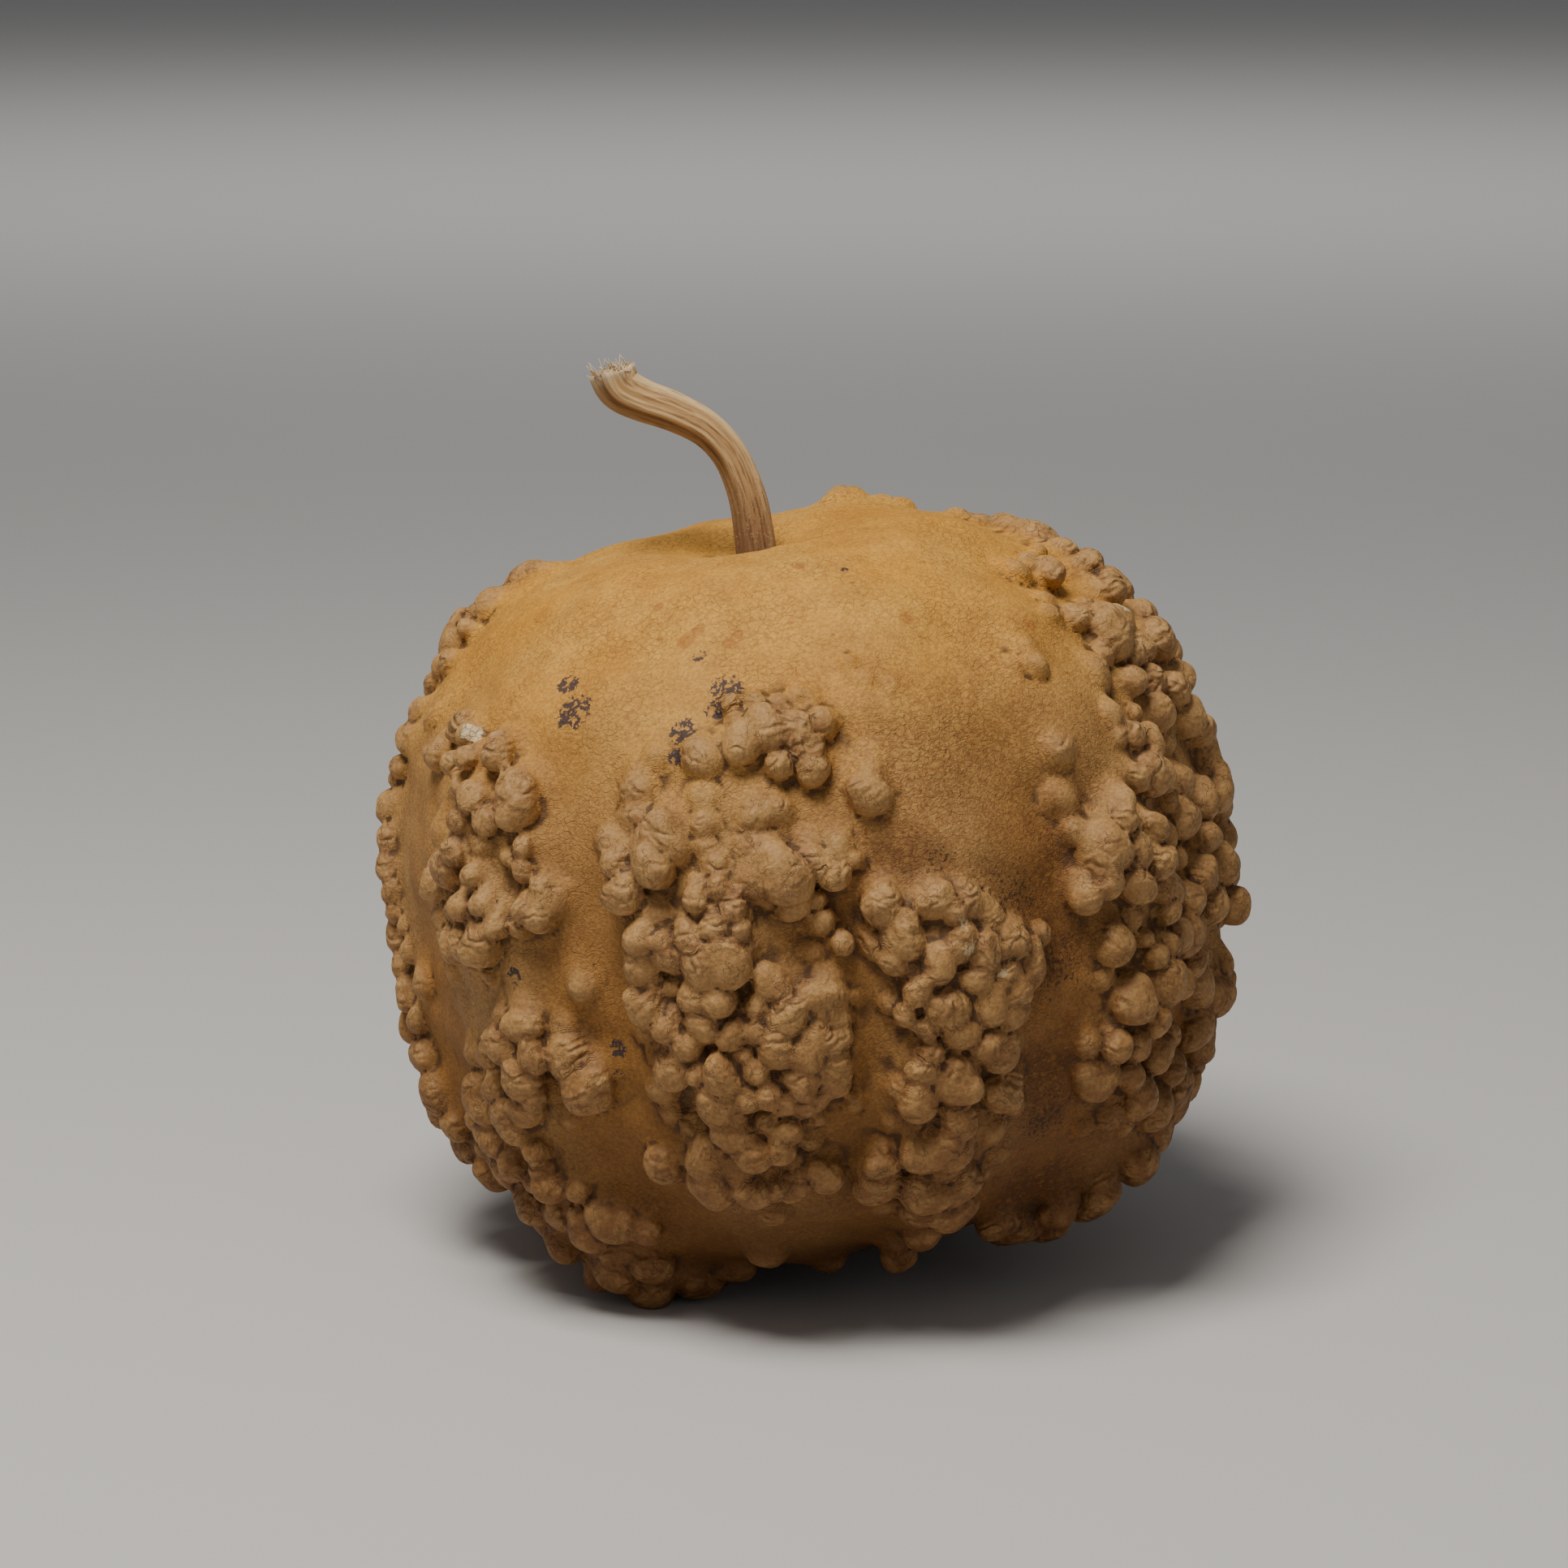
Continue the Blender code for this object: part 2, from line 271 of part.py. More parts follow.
# The stem's centreline seen from the front, from its root in the dimple: right and up.
STEM_LINE = ((0, 0), (-0.8, 6.2), (-2.2, 13.8), (-5.5, 22), (-10.5, 27.8), (-17.5, 31.6), (-24, 33.9),
             (-28.4, 36.2), (-30.2, 39.2), (-30.6, 42))
STEM_SIDES = 30
STEM_RINGS = 26
STEM_RIDGES = 5
STEM_SEED = 7


def clear_scene():
    for thing in list(bpy.data.objects):
        bpy.data.objects.remove(thing, do_unlink=True)


def material(name, colour, roughness):
    made = bpy.data.materials.new(name)
    made.use_nodes = True
    shader = made.node_tree.nodes["Principled BSDF"]
    shader.inputs["Base Color"].default_value = (*colour, 1.0)
    shader.inputs["Roughness"].default_value = roughness
    shader.inputs["Metallic"].default_value = 0.0
    return made


def turned(angle):
    """The difference of two angles, brought between -180 and 180 degrees."""
    return (angle + 180.0) % 360.0 - 180.0


def bell(distance):
    return np.exp(-distance * distance)


def skin_radius(azimuth, height):
    """Distance from the fruit's centre to its skin, without warts."""
    across = np.cos(np.radians(height)) / BODY_HALF_WIDTH
    along = np.abs(np.sin(np.radians(height))) / BODY_HALF_HEIGHT
    power = BODY_SQUARENESS
    radius = (across ** power + along ** power) ** (-1.0 / power)
    ribs = sum(bell(turned(azimuth - rib) / RIB_HALF_WIDTH) for rib in RIBS)
    radius = radius + RIB_RISE * (ribs - 0.5) * np.cos(np.radians(height)) ** 1.5
    radius = radius + SHOULDER_RISE * bell((height - 66.0) / 13.0)
    radius = radius - STEM_DIMPLE * bell((90.0 - height) / 12.0)
    radius = radius - BLOSSOM_DIMPLE * bell((90.0 + height) / 24.0)
    for middle, level, wide, tall, rise in SWELLS:
        radius = radius + rise * bell(turned(azimuth - middle) / wide) * bell((height - level) / tall)
    return radius


def direction(azimuth, height):
    a, h = math.radians(azimuth), math.radians(height)
    return np.array((math.sin(a) * math.cos(h), -math.cos(a) * math.cos(h), math.sin(h)))


def skin_point(azimuth, height):
    return direction(azimuth, height) * skin_radius(azimuth, height)


def skin_axes(azimuth, height):
    """The directions right, down and out on the skin at a point."""
    right = skin_point(azimuth + 1.0, height) - skin_point(azimuth - 1.0, height)
    down = skin_point(azimuth, height - 1.0) - skin_point(azimuth, height + 1.0)
    right /= np.linalg.norm(right)
    down /= np.linalg.norm(down)
    out = np.cross(down, right)
    return right, down, out / np.linalg.norm(out)


def draw_warts(placed):
    """Fill the far side with warts at random, packed against each other."""
    rng = np.random.default_rng(DRAW_SEED)
    warts = list(placed)
    for middle, half_width, low, high, count in DRAWN_BUNCHES:
        for _ in range(count):
            for _ in range(DRAW_TRIES):
                azimuth = middle + half_width * rng.uniform(-1, 1)
                height = rng.uniform(low, high)
                radius = rng.uniform(*DRAWN_RADIUS)
                spot = direction(azimuth, height)
                clear = [np.linalg.norm(spot - direction(*wart[:2])) * BODY_HALF_WIDTH
                         > 0.8 * (radius + wart[2]) for wart in warts]
                if all(clear):
                    rise = radius * rng.uniform(0.9, 1.4) + 1.0
                    warts.append((azimuth, height, radius, rise, rng.uniform(0, 3), rng.uniform(-2, 2)))
                    break
    return warts


def to_fruit(point):
    """A point of the upright frame, from the fruit's centre, in the leaning fruit's own frame."""
    return np.array(Matrix.Rotation(math.radians(LEAN), 3, "Y") @ Vector(point))


def wart_lobes(rng, azimuth, height, radius, rise, hang, slide):
    """One wart as round cones, its foot first: start, end, radius at the start, radius at the end.

    Its root is thin and low and its tip plump and high, so that it droops over what lies below.
    """
    right, down, out = skin_axes(azimuth, height)
    middle = skin_point(azimuth, height)
    turn = rng.normal(0.0, DROOP_TURN)
    droop = (down * math.cos(turn) + right * math.sin(turn)) * radius
    rise = rise * rng.uniform(*RISE_SPREAD)
    plump = radius * PLUMPNESS
    lean = (down * hang + right * slide) * 0.5
    broad = radius * FOOT_WIDTH
    floor = middle - droop * FOOT_UP + out * (rise - CREASE_DEPTH - broad)
    root = middle - lean - droop * DROOP_UP + out * (rise * ROOT_RISE - plump * ROOT_SUNK)
    tip = middle + lean + droop * DROOP_DOWN + out * (rise - plump)
    lobes = [(floor - out * radius, floor, broad, broad), (root, tip, plump * ROOT_WIDTH, plump),
             (middle - out * radius, tip, plump * ROOT_WIDTH, plump * HEART_WIDTH)]
    if rise < radius or radius < MIN_LUMPY:
        return lobes
    count = 1 + (rng.random() < MORE_BUMPS) + (radius > MIN_LUMPIER)
    turn = rng.uniform(0, math.tau)
    for n in range(count):
        angle = turn + math.tau * n / count + rng.uniform(-BUMP_UNEVEN, BUMP_UNEVEN)
        small = plump * rng.uniform(*BUMP_RADIUS)
        side = (right * math.cos(angle) + down * math.sin(angle)) * plump * rng.uniform(*BUMP_ASIDE)
        bump = middle + lean * 0.6 + side + out * (rise - small - radius * rng.uniform(*BUMP_SUNK))
        lobes.append((middle + side * 0.6 - out * small, bump, small * 0.9, small))
    return lobes


def all_warts():
    """Every wart, as a list of its lobes."""
    rng = np.random.default_rng(LOBE_SEED)
    listed = (LEFT_EDGE_WARTS + LEFT_RIB_WARTS + MIDDLE_RIB_WARTS + CENTRE_RIGHT_RIB_WARTS
              + RIGHT_RIB_WARTS + RIGHT_EDGE_WARTS)
    warts = [wart_lobes(rng, *wart) for wart in draw_warts(listed)]
    for x, y in FEET:
        tip = to_fruit((x, y, FOOT_RADIUS - FOOT_FLAT - CENTRE_HEIGHT))
        lobe = (tip * 0.86, tip, FOOT_ROOT_RADIUS, FOOT_RADIUS)
        warts.append([lobe, lobe])
    return warts


def smooth_union(first, second, blend):
    overlap = np.maximum(blend - np.abs(first - second), 0.0) / blend
    return np.minimum(first, second) - overlap * overlap * blend * 0.25


def cone_field(grid, root, tip, root_radius, tip_radius):
    """Distance to a round cone."""
    span = tip - root
    offset = [g - r for g, r in zip(grid, root)]
    along = np.clip(sum(o * s for o, s in zip(offset, span)) / np.dot(span, span), 0.0, 1.0)
    away = np.sqrt(sum((o - along * s) ** 2 for o, s in zip(offset, span)))
    return (away - root_radius - along * (tip_radius - root_radius)).astype(np.float32)


def knead_waves():
    """Slow waves as rows of direction, start and push."""
    rng = np.random.default_rng(KNEAD_SEED)
    waves = []
    for length, depth in KNEAD_WAVES:
        for _ in range(4):
            wave, push = rng.normal(size=(2, 3))
            waves.append((wave * math.tau / length / np.linalg.norm(wave), rng.uniform(0, math.tau),
                          push * depth / np.linalg.norm(push)))
    return waves


def kneaded(grid, waves):
    """The grid moved a little by the waves, so that no wart drawn on it stays a true ball."""
    swings = [(np.sin(sum(g * w for g, w in zip(grid, wave)) + start), push) for wave, start, push in waves]
    return [g + sum(swing * push[n] for swing, push in swings) for n, g in enumerate(grid)]


def warts_field(axes, warts):
    """The distance to the nearest wart, worked out only in a box round each.

    The feet melt into a common floor, and the lobes stand on it with tight creases between.
    """
    floor = np.full([len(axis) for axis in axes], REACH, dtype=np.float32)
    tops = floor.copy()
    waves = knead_waves()
    for foot, first, *others in warts:
        ends = np.array([point for lobe in (foot, first, *others) for point in lobe[:2]])
        margin = foot[3] + 2.0 * FOOT_BLEND
        low, high = ends.min(axis=0) - margin, ends.max(axis=0) + margin
        box = tuple(slice(*np.searchsorted(axis, limits)) for axis, limits in zip(axes, zip(low, high)))
        grid = kneaded(np.meshgrid(*(axis[part] for axis, part in zip(axes, box)), indexing="ij"), waves)
        wart = cone_field(grid, *first)
        for lobe in others:
            wart = smooth_union(wart, cone_field(grid, *lobe), LOBE_BLEND * lobe[3])
        floor[box] = smooth_union(floor[box], cone_field(grid, *foot), FOOT_BLEND)
        tops[box] = smooth_union(tops[box], wart, WART_BLEND)
    return floor, tops


def skin_field(axes):
    """The distance to the skin, exact only near it."""
    x, y, z = np.meshgrid(*axes, indexing="ij", sparse=True)
    reach = np.sqrt(x * x + y * y + z * z)
    field = reach - BODY_HALF_WIDTH
    near = np.abs(field) < REACH
    i, j, k = np.nonzero(near)
    px, py, pz = axes[0][i], axes[1][j], axes[2][k]
    far = reach[near]
    azimuth = np.degrees(np.arctan2(px, -py))
    height = np.degrees(np.arcsin(np.clip(pz / far, -1.0, 1.0)))
    field[near] = far - skin_radius(azimuth, height)
    return field


def fill_pinches(field):
    """Fill the places where two sheets of the surface would meet along one edge."""
    for _ in range(8):
        changed = 0
        for axis in range(3):
            a, b = [n for n in range(3) if n != axis]
            low, high = slice(None, -1), slice(1, None)
            corner = {}
            for i, j in itertools.product((0, 1), repeat=2):
                cut = [slice(None)] * 3
                cut[a], cut[b] = (low, high)[i], (low, high)[j]
                corner[i, j] = field[tuple(cut)]
            for first, second in (((0, 0), (1, 1)), ((0, 1), (1, 0))):
                pinched = (corner[first] < 0) & (corner[second] < 0)
                for other in set(corner) - {first, second}:
                    pinched &= corner[other] >= 0
                changed += int(pinched.sum())
                for other in set(corner) - {first, second}:
                    corner[other][pinched] = -0.05
        if not changed:
            return


def surface_net(field, axes):
    """Vertices and quads of the zero surface: one vertex a cell, one quad a crossed edge."""
    shape = [n - 1 for n in field.shape]
    corners = list(itertools.product((0, 1), repeat=3))
    values = [field[tuple(slice(c, c + n) for c, n in zip(corner, shape))] for corner in corners]
    count = sum((value < 0).astype(np.int8) for value in values)
    cells = np.nonzero((count > 0) & (count < 8))
    at_cell = [value[cells] for value in values]
    total = np.zeros((len(cells[0]), 3))
    crossings = np.zeros(len(cells[0]))
    for first, second in itertools.combinations(range(8), 2):
        step = np.subtract(corners[second], corners[first])
        if np.abs(step).sum() != 1:
            continue
        a, b = at_cell[first], at_cell[second]
        crossed = (a < 0) != (b < 0)
        part = np.where(crossed, a / np.where(crossed, a - b, 1.0), 0.0)
        total += crossed[:, None] * (np.array(corners[first]) + part[:, None] * step)
        crossings += crossed
    size = axes[0][1] - axes[0][0]
    start = np.array([axis[0] for axis in axes])
    points = start + size * (np.stack(cells, axis=1) + total / crossings[:, None])
    number = np.full(shape, -1, dtype=np.int64)
    number[cells] = np.arange(len(points))
    quads = []
    for axis in range(3):
        a, b = (axis + 1) % 3, (axis + 2) % 3
        here = [slice(1, -1)] * 3
        there = [slice(1, -1)] * 3
        here[axis], there[axis] = slice(0, -1), slice(1, None)
        inside, beyond = field[tuple(here)] < 0, field[tuple(there)] < 0
        edges = np.stack(np.nonzero(inside != beyond), axis=1)
        outward = inside[tuple(edges.T)]
        edges += 1
        edges[:, axis] -= 1
        ring = []
        for i, j in ((1, 1), (0, 1), (0, 0), (1, 0)):
            cell = edges.copy()
            cell[:, a] -= i
            cell[:, b] -= j
            ring.append(number[tuple(cell.T)])
        quad = np.stack(ring, axis=1)
        quad[~outward] = quad[~outward, ::-1]
        quads.append(quad)
    return points, np.concatenate(quads)


def outer_sheet(points, quads):
    """The largest connected sheet alone, without the walls of pockets shut in under warts."""
    label = np.arange(len(points))
    while True:
        lowest = label.copy()
        np.minimum.at(lowest, quads.ravel(), np.repeat(label[quads].min(axis=1), 4))
        lowest = lowest[lowest]
        if np.array_equal(lowest, label):
            break
        label = lowest
    kept = label == np.bincount(label).argmax()
    number = np.cumsum(kept) - 1
    return points[kept], number[quads[kept[quads[:, 0]]]]


def rind_mesh(voxel):
    """The rind at its full detail, in the leaning fruit's own frame."""
    half = BODY_HALF_WIDTH + REACH
    axes = [np.arange(-half, half, voxel, dtype=np.float32)] * 3
    floor, tops = warts_field(axes, all_warts())
    field = smooth_union(smooth_union(skin_field(axes), floor, SKIN_BLEND), tops, WART_BLEND)
    fill_pinches(field)
    points, quads = outer_sheet(*surface_net(field, axes))
    mesh = bpy.data.meshes.new("fruit")
    mesh.from_pydata(points * MM, [], quads)
    return mesh


def thinned(mesh, triangles):
    """The mesh with its triangles merged where the surface is smooth."""
    holder = bpy.data.objects.new("holder", mesh)
    bpy.context.collection.objects.link(holder)
    thin = holder.modifiers.new("thin", "DECIMATE")
    thin.ratio = triangles / (2 * len(mesh.polygons))
    thin.use_collapse_triangulate = True
    graph = bpy.context.evaluated_depsgraph_get()
    result = bpy.data.meshes.new_from_object(holder.evaluated_get(graph))
    bpy.data.objects.remove(holder)
    return result


def fruit_frame():
    """From the leaning fruit's own frame to the ground frame."""
    centre = Vector((*CENTRE_SHIFT, CENTRE_HEIGHT)) * MM
    return Matrix.Translation(centre) @ Matrix.Rotation(math.radians(-LEAN), 4, "Y")


def cut_at_ground(mesh):
    """Cut the three low warts flat where they stand."""
    ground = fruit_frame().inverted()
    up = (ground.to_3x3() @ Vector((0, 0, 1))).normalized()
    work = bmesh.new()
    work.from_mesh(mesh)
    everything = work.verts[:] + work.edges[:] + work.faces[:]
    cut = bmesh.ops.bisect_plane(work, geom=everything, plane_co=ground.translation, plane_no=up,
                                 clear_inner=True, dist=1e-7)
    rim = [item for item in cut["geom_cut"] if isinstance(item, bmesh.types.BMEdge)]
    bmesh.ops.holes_fill(work, edges=rim, sides=0)
    bmesh.ops.triangulate(work, faces=[face for face in work.faces if len(face.verts) > 3])
    work.to_mesh(mesh)
    work.free()


def dimple_height():
    return float(skin_radius(0.0, 90.0))


def stem_centreline():
    """Evenly spaced points along a smooth curve through the stem's own points."""
    points = [np.array((x, z), dtype=float) for x, z in STEM_LINE]
    points = [2 * points[0] - points[1]] + points + [2 * points[-1] - points[-2]]
    dense = []
    for before, start, end, after in zip(points, points[1:], points[2:], points[3:]):
        for t in np.linspace(0, 1, 20, endpoint=False):
            dense.append(0.5 * (2 * start + (end - before) * t
                                + (2 * before - 5 * start + 4 * end - after) * t ** 2
                                + (3 * start - before - 3 * end + after) * t ** 3))
    dense.append(points[-2])
    dense = np.array(dense)
    length = np.concatenate(([0], np.cumsum(np.linalg.norm(np.diff(dense, axis=0), axis=1))))
    wanted = np.linspace(0, length[-1], STEM_RINGS)
    return np.stack([np.interp(wanted, length, dense[:, n]) for n in (0, 1)], axis=1)


def stem_profile(share, around):
    """Radius of the stem at a share of its length and an angle around it."""
    waist = STEM_RADIUS * (1.0 - 0.17 * bell((share - 0.45) / 0.3))
    ridge = 0.10 * math.cos(STEM_RIDGES * around + 1.2 * share) + 0.045 * math.cos(2 * STEM_RIDGES * around)
    return waist * (1.0 + ridge) * (1.0 + 0.12 * bell((share - 1.0) / 0.12))


def stem_mesh():
    """A ridged rod along the centreline with a torn, hollowed end."""
    rng = np.random.default_rng(STEM_SEED)
    line = stem_centreline()
    work = bmesh.new()
    rings = []
    root = [(0.0, -STEM_ROOT_DEPTH)] + [tuple(point) for point in line]
    tear = [1.3 * abs(math.sin(1.5 * n * math.tau / STEM_SIDES)) + rng.uniform(0, 0.8)
            for n in range(STEM_SIDES)]
    for index, (x, z) in enumerate(root):
        before = root[max(index - 1, 0)]
        after = root[min(index + 1, len(root) - 1)]
        along = Vector((after[0] - before[0], 0, after[1] - before[1])).normalized()
        side = along.cross(Vector((0, 1, 0))).normalized()
        share = max(index - 1, 0) / (len(root) - 2)
        ring = []
        for n in range(STEM_SIDES):
            around = math.tau * n / STEM_SIDES
            radius = stem_profile(share, around)
            offset = side * math.cos(around) * radius + Vector((0, 1, 0)) * math.sin(around) * radius
            last = along * tear[n] if index == len(root) - 1 else Vector()
            ring.append(work.verts.new((Vector((x, 0, z)) + offset + last) * MM))
        rings.append(ring)
    for lower, upper in zip(rings, rings[1:]):
        for n in range(STEM_SIDES):
            m = (n + 1) % STEM_SIDES
            work.faces.new((lower[n], lower[m], upper[m], upper[n]))
    floor = work.verts.new(Vector((root[0][0], 0, root[0][1])) * MM)
    hollow = work.verts.new((Vector((root[-1][0], 0, root[-1][1])) - along * 1.5) * MM)
    for n in range(STEM_SIDES):
        m = (n + 1) % STEM_SIDES
        work.faces.new((rings[0][m], rings[0][n], floor))
        work.faces.new((rings[-1][n], rings[-1][m], hollow))
    bmesh.ops.recalc_face_normals(work, faces=work.faces[:])
    bmesh.ops.triangulate(work, faces=[face for face in work.faces if len(face.verts) > 3])
    mesh = bpy.data.meshes.new("stem")
    work.to_mesh(mesh)
    work.free()
    return mesh


def stem_place():
    """Where the stem's root stands: the middle of the dimple, in the ground frame."""
    return fruit_frame() @ Vector((STEM_SHIFT * MM, 0, dimple_height() * MM))


def add_object(name, mesh, look):
    thing = bpy.data.objects.new(name, mesh)
    bpy.context.collection.objects.link(thing)
    mesh.materials.clear()
    mesh.materials.append(look)
    mesh.shade_smooth()
    mesh.set_sharp_from_angle(angle=math.radians(50))
    return thing


def make_fruit():
    mesh = thinned(rind_mesh(VOXEL), TRIANGLES)
    cut_at_ground(mesh)
    fruit = add_object("fruit", mesh, material("dried rind", (0.42, 0.25, 0.10), 0.6))
    fruit.matrix_world = fruit_frame()
    return fruit


def make_stem():
    stem = add_object("stem", stem_mesh(), material("woody stem", (0.36, 0.25, 0.14), 0.75))
    stem.location = stem_place()
    return stem


def cut_socket(fruit):
    """The hole in the dimple that the stem's root stands in."""
    depth = STEM_ROOT_DEPTH + SOCKET_GAP
    height = 12.0
    bpy.ops.mesh.primitive_cylinder_add(vertices=STEM_SIDES, radius=SOCKET_RADIUS * MM,
                                        depth=height * MM)
    cutter = bpy.context.object
    cutter.name = "stem_socket_cutter"
    cutter.matrix_world = Matrix.Translation(stem_place() + Vector((0, 0, (height / 2 - depth) * MM)))
    cutter.hide_render = True
    cutter.display_type = "WIRE"
    cut = fruit.modifiers.new("stem socket", "BOOLEAN")
    cut.operation = "DIFFERENCE"
    cut.object = cutter


def main():
    clear_scene()
    fruit = make_fruit()
    make_stem()
    cut_socket(fruit)


main()
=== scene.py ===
"""The looks of a dried warty gourd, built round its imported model.

The rind is drawn from the same formula as its solid, on a finer grid, and its finish folds and
creases the warts. The stem has the solid's centreline, with finer ridges and papery fibres at its
torn end.

Lengths are in millimetres and angles in degrees, and each mesh is scaled to metres when it is
made. The studio is in metres. Azimuth 0 faces the front (-Y) and grows to the right (+X). The
fruit's own frame leans with it.
"""

import functools
import itertools
import math

import bmesh
import bpy
import numpy as np
from mathutils import Matrix, Vector

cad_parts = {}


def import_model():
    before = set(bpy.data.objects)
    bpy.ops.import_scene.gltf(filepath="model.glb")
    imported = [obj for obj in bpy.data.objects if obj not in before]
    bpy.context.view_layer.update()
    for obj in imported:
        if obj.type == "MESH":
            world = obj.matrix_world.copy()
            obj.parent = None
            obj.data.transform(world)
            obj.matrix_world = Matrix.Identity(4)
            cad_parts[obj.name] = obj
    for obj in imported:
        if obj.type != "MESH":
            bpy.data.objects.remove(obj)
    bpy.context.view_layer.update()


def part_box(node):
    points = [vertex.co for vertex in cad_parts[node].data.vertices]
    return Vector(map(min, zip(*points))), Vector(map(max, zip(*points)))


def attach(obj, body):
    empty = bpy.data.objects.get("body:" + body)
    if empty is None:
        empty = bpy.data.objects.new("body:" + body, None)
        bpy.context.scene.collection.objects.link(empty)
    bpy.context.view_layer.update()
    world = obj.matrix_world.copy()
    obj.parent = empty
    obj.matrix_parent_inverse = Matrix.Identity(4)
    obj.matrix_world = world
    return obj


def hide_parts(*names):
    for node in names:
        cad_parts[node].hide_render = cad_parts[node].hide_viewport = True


MM = 0.001

# Driving dimensions of the rind, in mm.
BODY_HALF_WIDTH = 83.0
BODY_HALF_HEIGHT = 75.3
BODY_SQUARENESS = 2.64
CENTRE_HEIGHT = 79.0
CENTRE_SHIFT = (-2.05, 1.68)
LEAN = 9.0
RIB_RISE = 2.6
RIB_HALF_WIDTH = 11.0
SHOULDER_RISE = 2.8
STEM_DIMPLE = 5.0
BLOSSOM_DIMPLE = 4.0
# The shoulder's height angle, and the reach in degrees of the shoulder and of both dimples.
SHOULDER_HEIGHT = 66.0
SHOULDER_REACH = 13.0
STEM_DIMPLE_REACH = 12.0
BLOSSOM_DIMPLE_REACH = 24.0

# Driving dimensions of the stem, in mm.
STEM_RADIUS = 4.2
STEM_ROOT_DEPTH = 3.0
STEM_SHIFT = 1.6

# How the warts grow together: the blend of a wart's own lobes as a share of their radius, then
# in mm of wart with wart, of their feet, and of the feet with the skin. Creases stop on the feet.
LOBE_BLEND = 0.45
WART_BLEND = 0.3
FOOT_BLEND = 2.5
SKIN_BLEND = 2.5
CREASE_DEPTH = 2.6

# The form of a wart, in shares of its listed radius: its plumpness and its foot's width, how far
# its foot and root lie above and its tip below its place, and the spread of its rise. The way it
# droops turns from straight down by so many radians.
PLUMPNESS = 1.12
FOOT_WIDTH = 1.34
FOOT_UP = 0.35
DROOP_UP = 0.7
DROOP_DOWN = 0.1
DROOP_TURN = 0.6
RISE_SPREAD = (0.82, 1.04)
# Its root and heart: how far the root stands out as a share of the rise and is sunk as a share of
# its plumpness, and the radii of root and heart as shares of the tip's.
ROOT_RISE = 0.35
ROOT_SUNK = 0.75
ROOT_WIDTH = 0.66
HEART_WIDTH = 0.8
# Its bumps: the least radius of a wart with bumps and of one with another more, how often there
# is one more, and their unevenness round the wart in radians. Then their radius, their place
# beside the middle and how deep they are sunk, in shares of the wart's.
MIN_LUMPY = 2.9
MIN_LUMPIER = 3.9
MORE_BUMPS = 0.6
BUMP_UNEVEN = 0.6
BUMP_RADIUS = (0.52, 0.76)
BUMP_ASIDE = (0.4, 0.64)
BUMP_SUNK = (0.0, 0.26)

# How far the grid that the surface is drawn on reaches beyond the body.
REACH = 17.0
# Slow waves that knead the warts: their length and depth, and how many there are of each.
KNEAD_WAVES = ((19.0, 0.36), (9.0, 0.12), (5.0, 0.04))
WAVES_EACH = 4
KNEAD_SEED = 3

RIBS = (-88, -49, -11, 20, 52, 88, 124, 160, 197, 234)

# Broad swellings of the skin: azimuth, height angle, half width, half height, rise.
SWELLS = (
    (-46, -46, 15, 13, 6.5), (-78, -22, 10, 13, 3.0), (-50, 12, 11, 22, 1.5),
    (-10, 5, 13, 30, 1.2), (20, -6, 10, 22, 1.5), (52, 0, 10, 26, 1.5),
    (56, -44, 13, 12, 6.0), (85, -22, 13, 20, 3.5), (90, 20, 12, 24, 2.5),
    (124, -38, 12, 15, 4.0), (160, -46, 12, 13, 5.0), (197, -40, 12, 14, 4.5),
    (234, -36, 12, 15, 4.0), (140, 63, 11, 7, 3.0), (-104, 52, 12, 9, 3.0),
)

# Warts, rib by rib from the left. Their azimuth and height angle were read off one by one. Then
# come the lobe's radius and its rise above the skin, which were read off as well and nearly all
# enlarged by rule afterwards, and how far its tip hangs down and leans right of its root.
LEFT_EDGE_WARTS = (
    (-105, 56, 6.0, 4.5, 1, 0), (-100, 51, 5.0, 5.5, 1, 0), (-100, 48, 2.6, 5.5, 1, 0),
    (-96, 46, 2.0, 5.5, 0, 0), (-100, 44, 4.6, 7.0, 2, 0), (-101, 41, 3.6, 7.0, 1, 0),
    (-95, 40, 2.8, 6.5, 1, 0), (-96, 37, 2.5, 6.0, 1, 0), (-80, 36, 3.8, 2.5, 1, 0),
    (-91, 34, 3.1, 5.0, 1, 0), (-89, 30, 3.2, 5.5, 1, 0), (-91, 26, 2.5, 5.0, 1, 0),
    (-93, 24, 2.0, 5.0, 1, 0), (-92, 20, 3.1, 6.5, 1, 0), (-90, 16, 3.2, 6.0, 0, 0),
    (-89, 12, 2.9, 6.0, 0, 0), (-88, 9, 3.0, 5.5, 1, 0), (-87, 6, 2.6, 5.5, 1, 0),
    (-84, 4, 2.2, 3.5, 0, 0), (-88, 2, 3.5, 6.5, 1, 0), (-82, 1, 2.5, 4.5, 1, 0),
    (-86, -2, 3.0, 6.0, 1, 0), (-77, -2, 4.8, 3.5, 3, 0), (-84, -6, 3.4, 6.0, 1, 0),
    (-80, -9, 3.1, 5.5, 1, 0), (-86, -11, 3.1, 5.5, 1, 0), (-80, -14, 3.8, 6.5, 1, 0),
    (-78, -19, 4.0, 6.5, 1, 0), (-82, -22, 3.6, 6.5, 1, 0), (-75, -23, 3.1, 5.5, 1, 0),
    (-78, -27, 3.6, 6.5, 1, 0), (-74, -31, 3.8, 6.0, 2, 0),
)
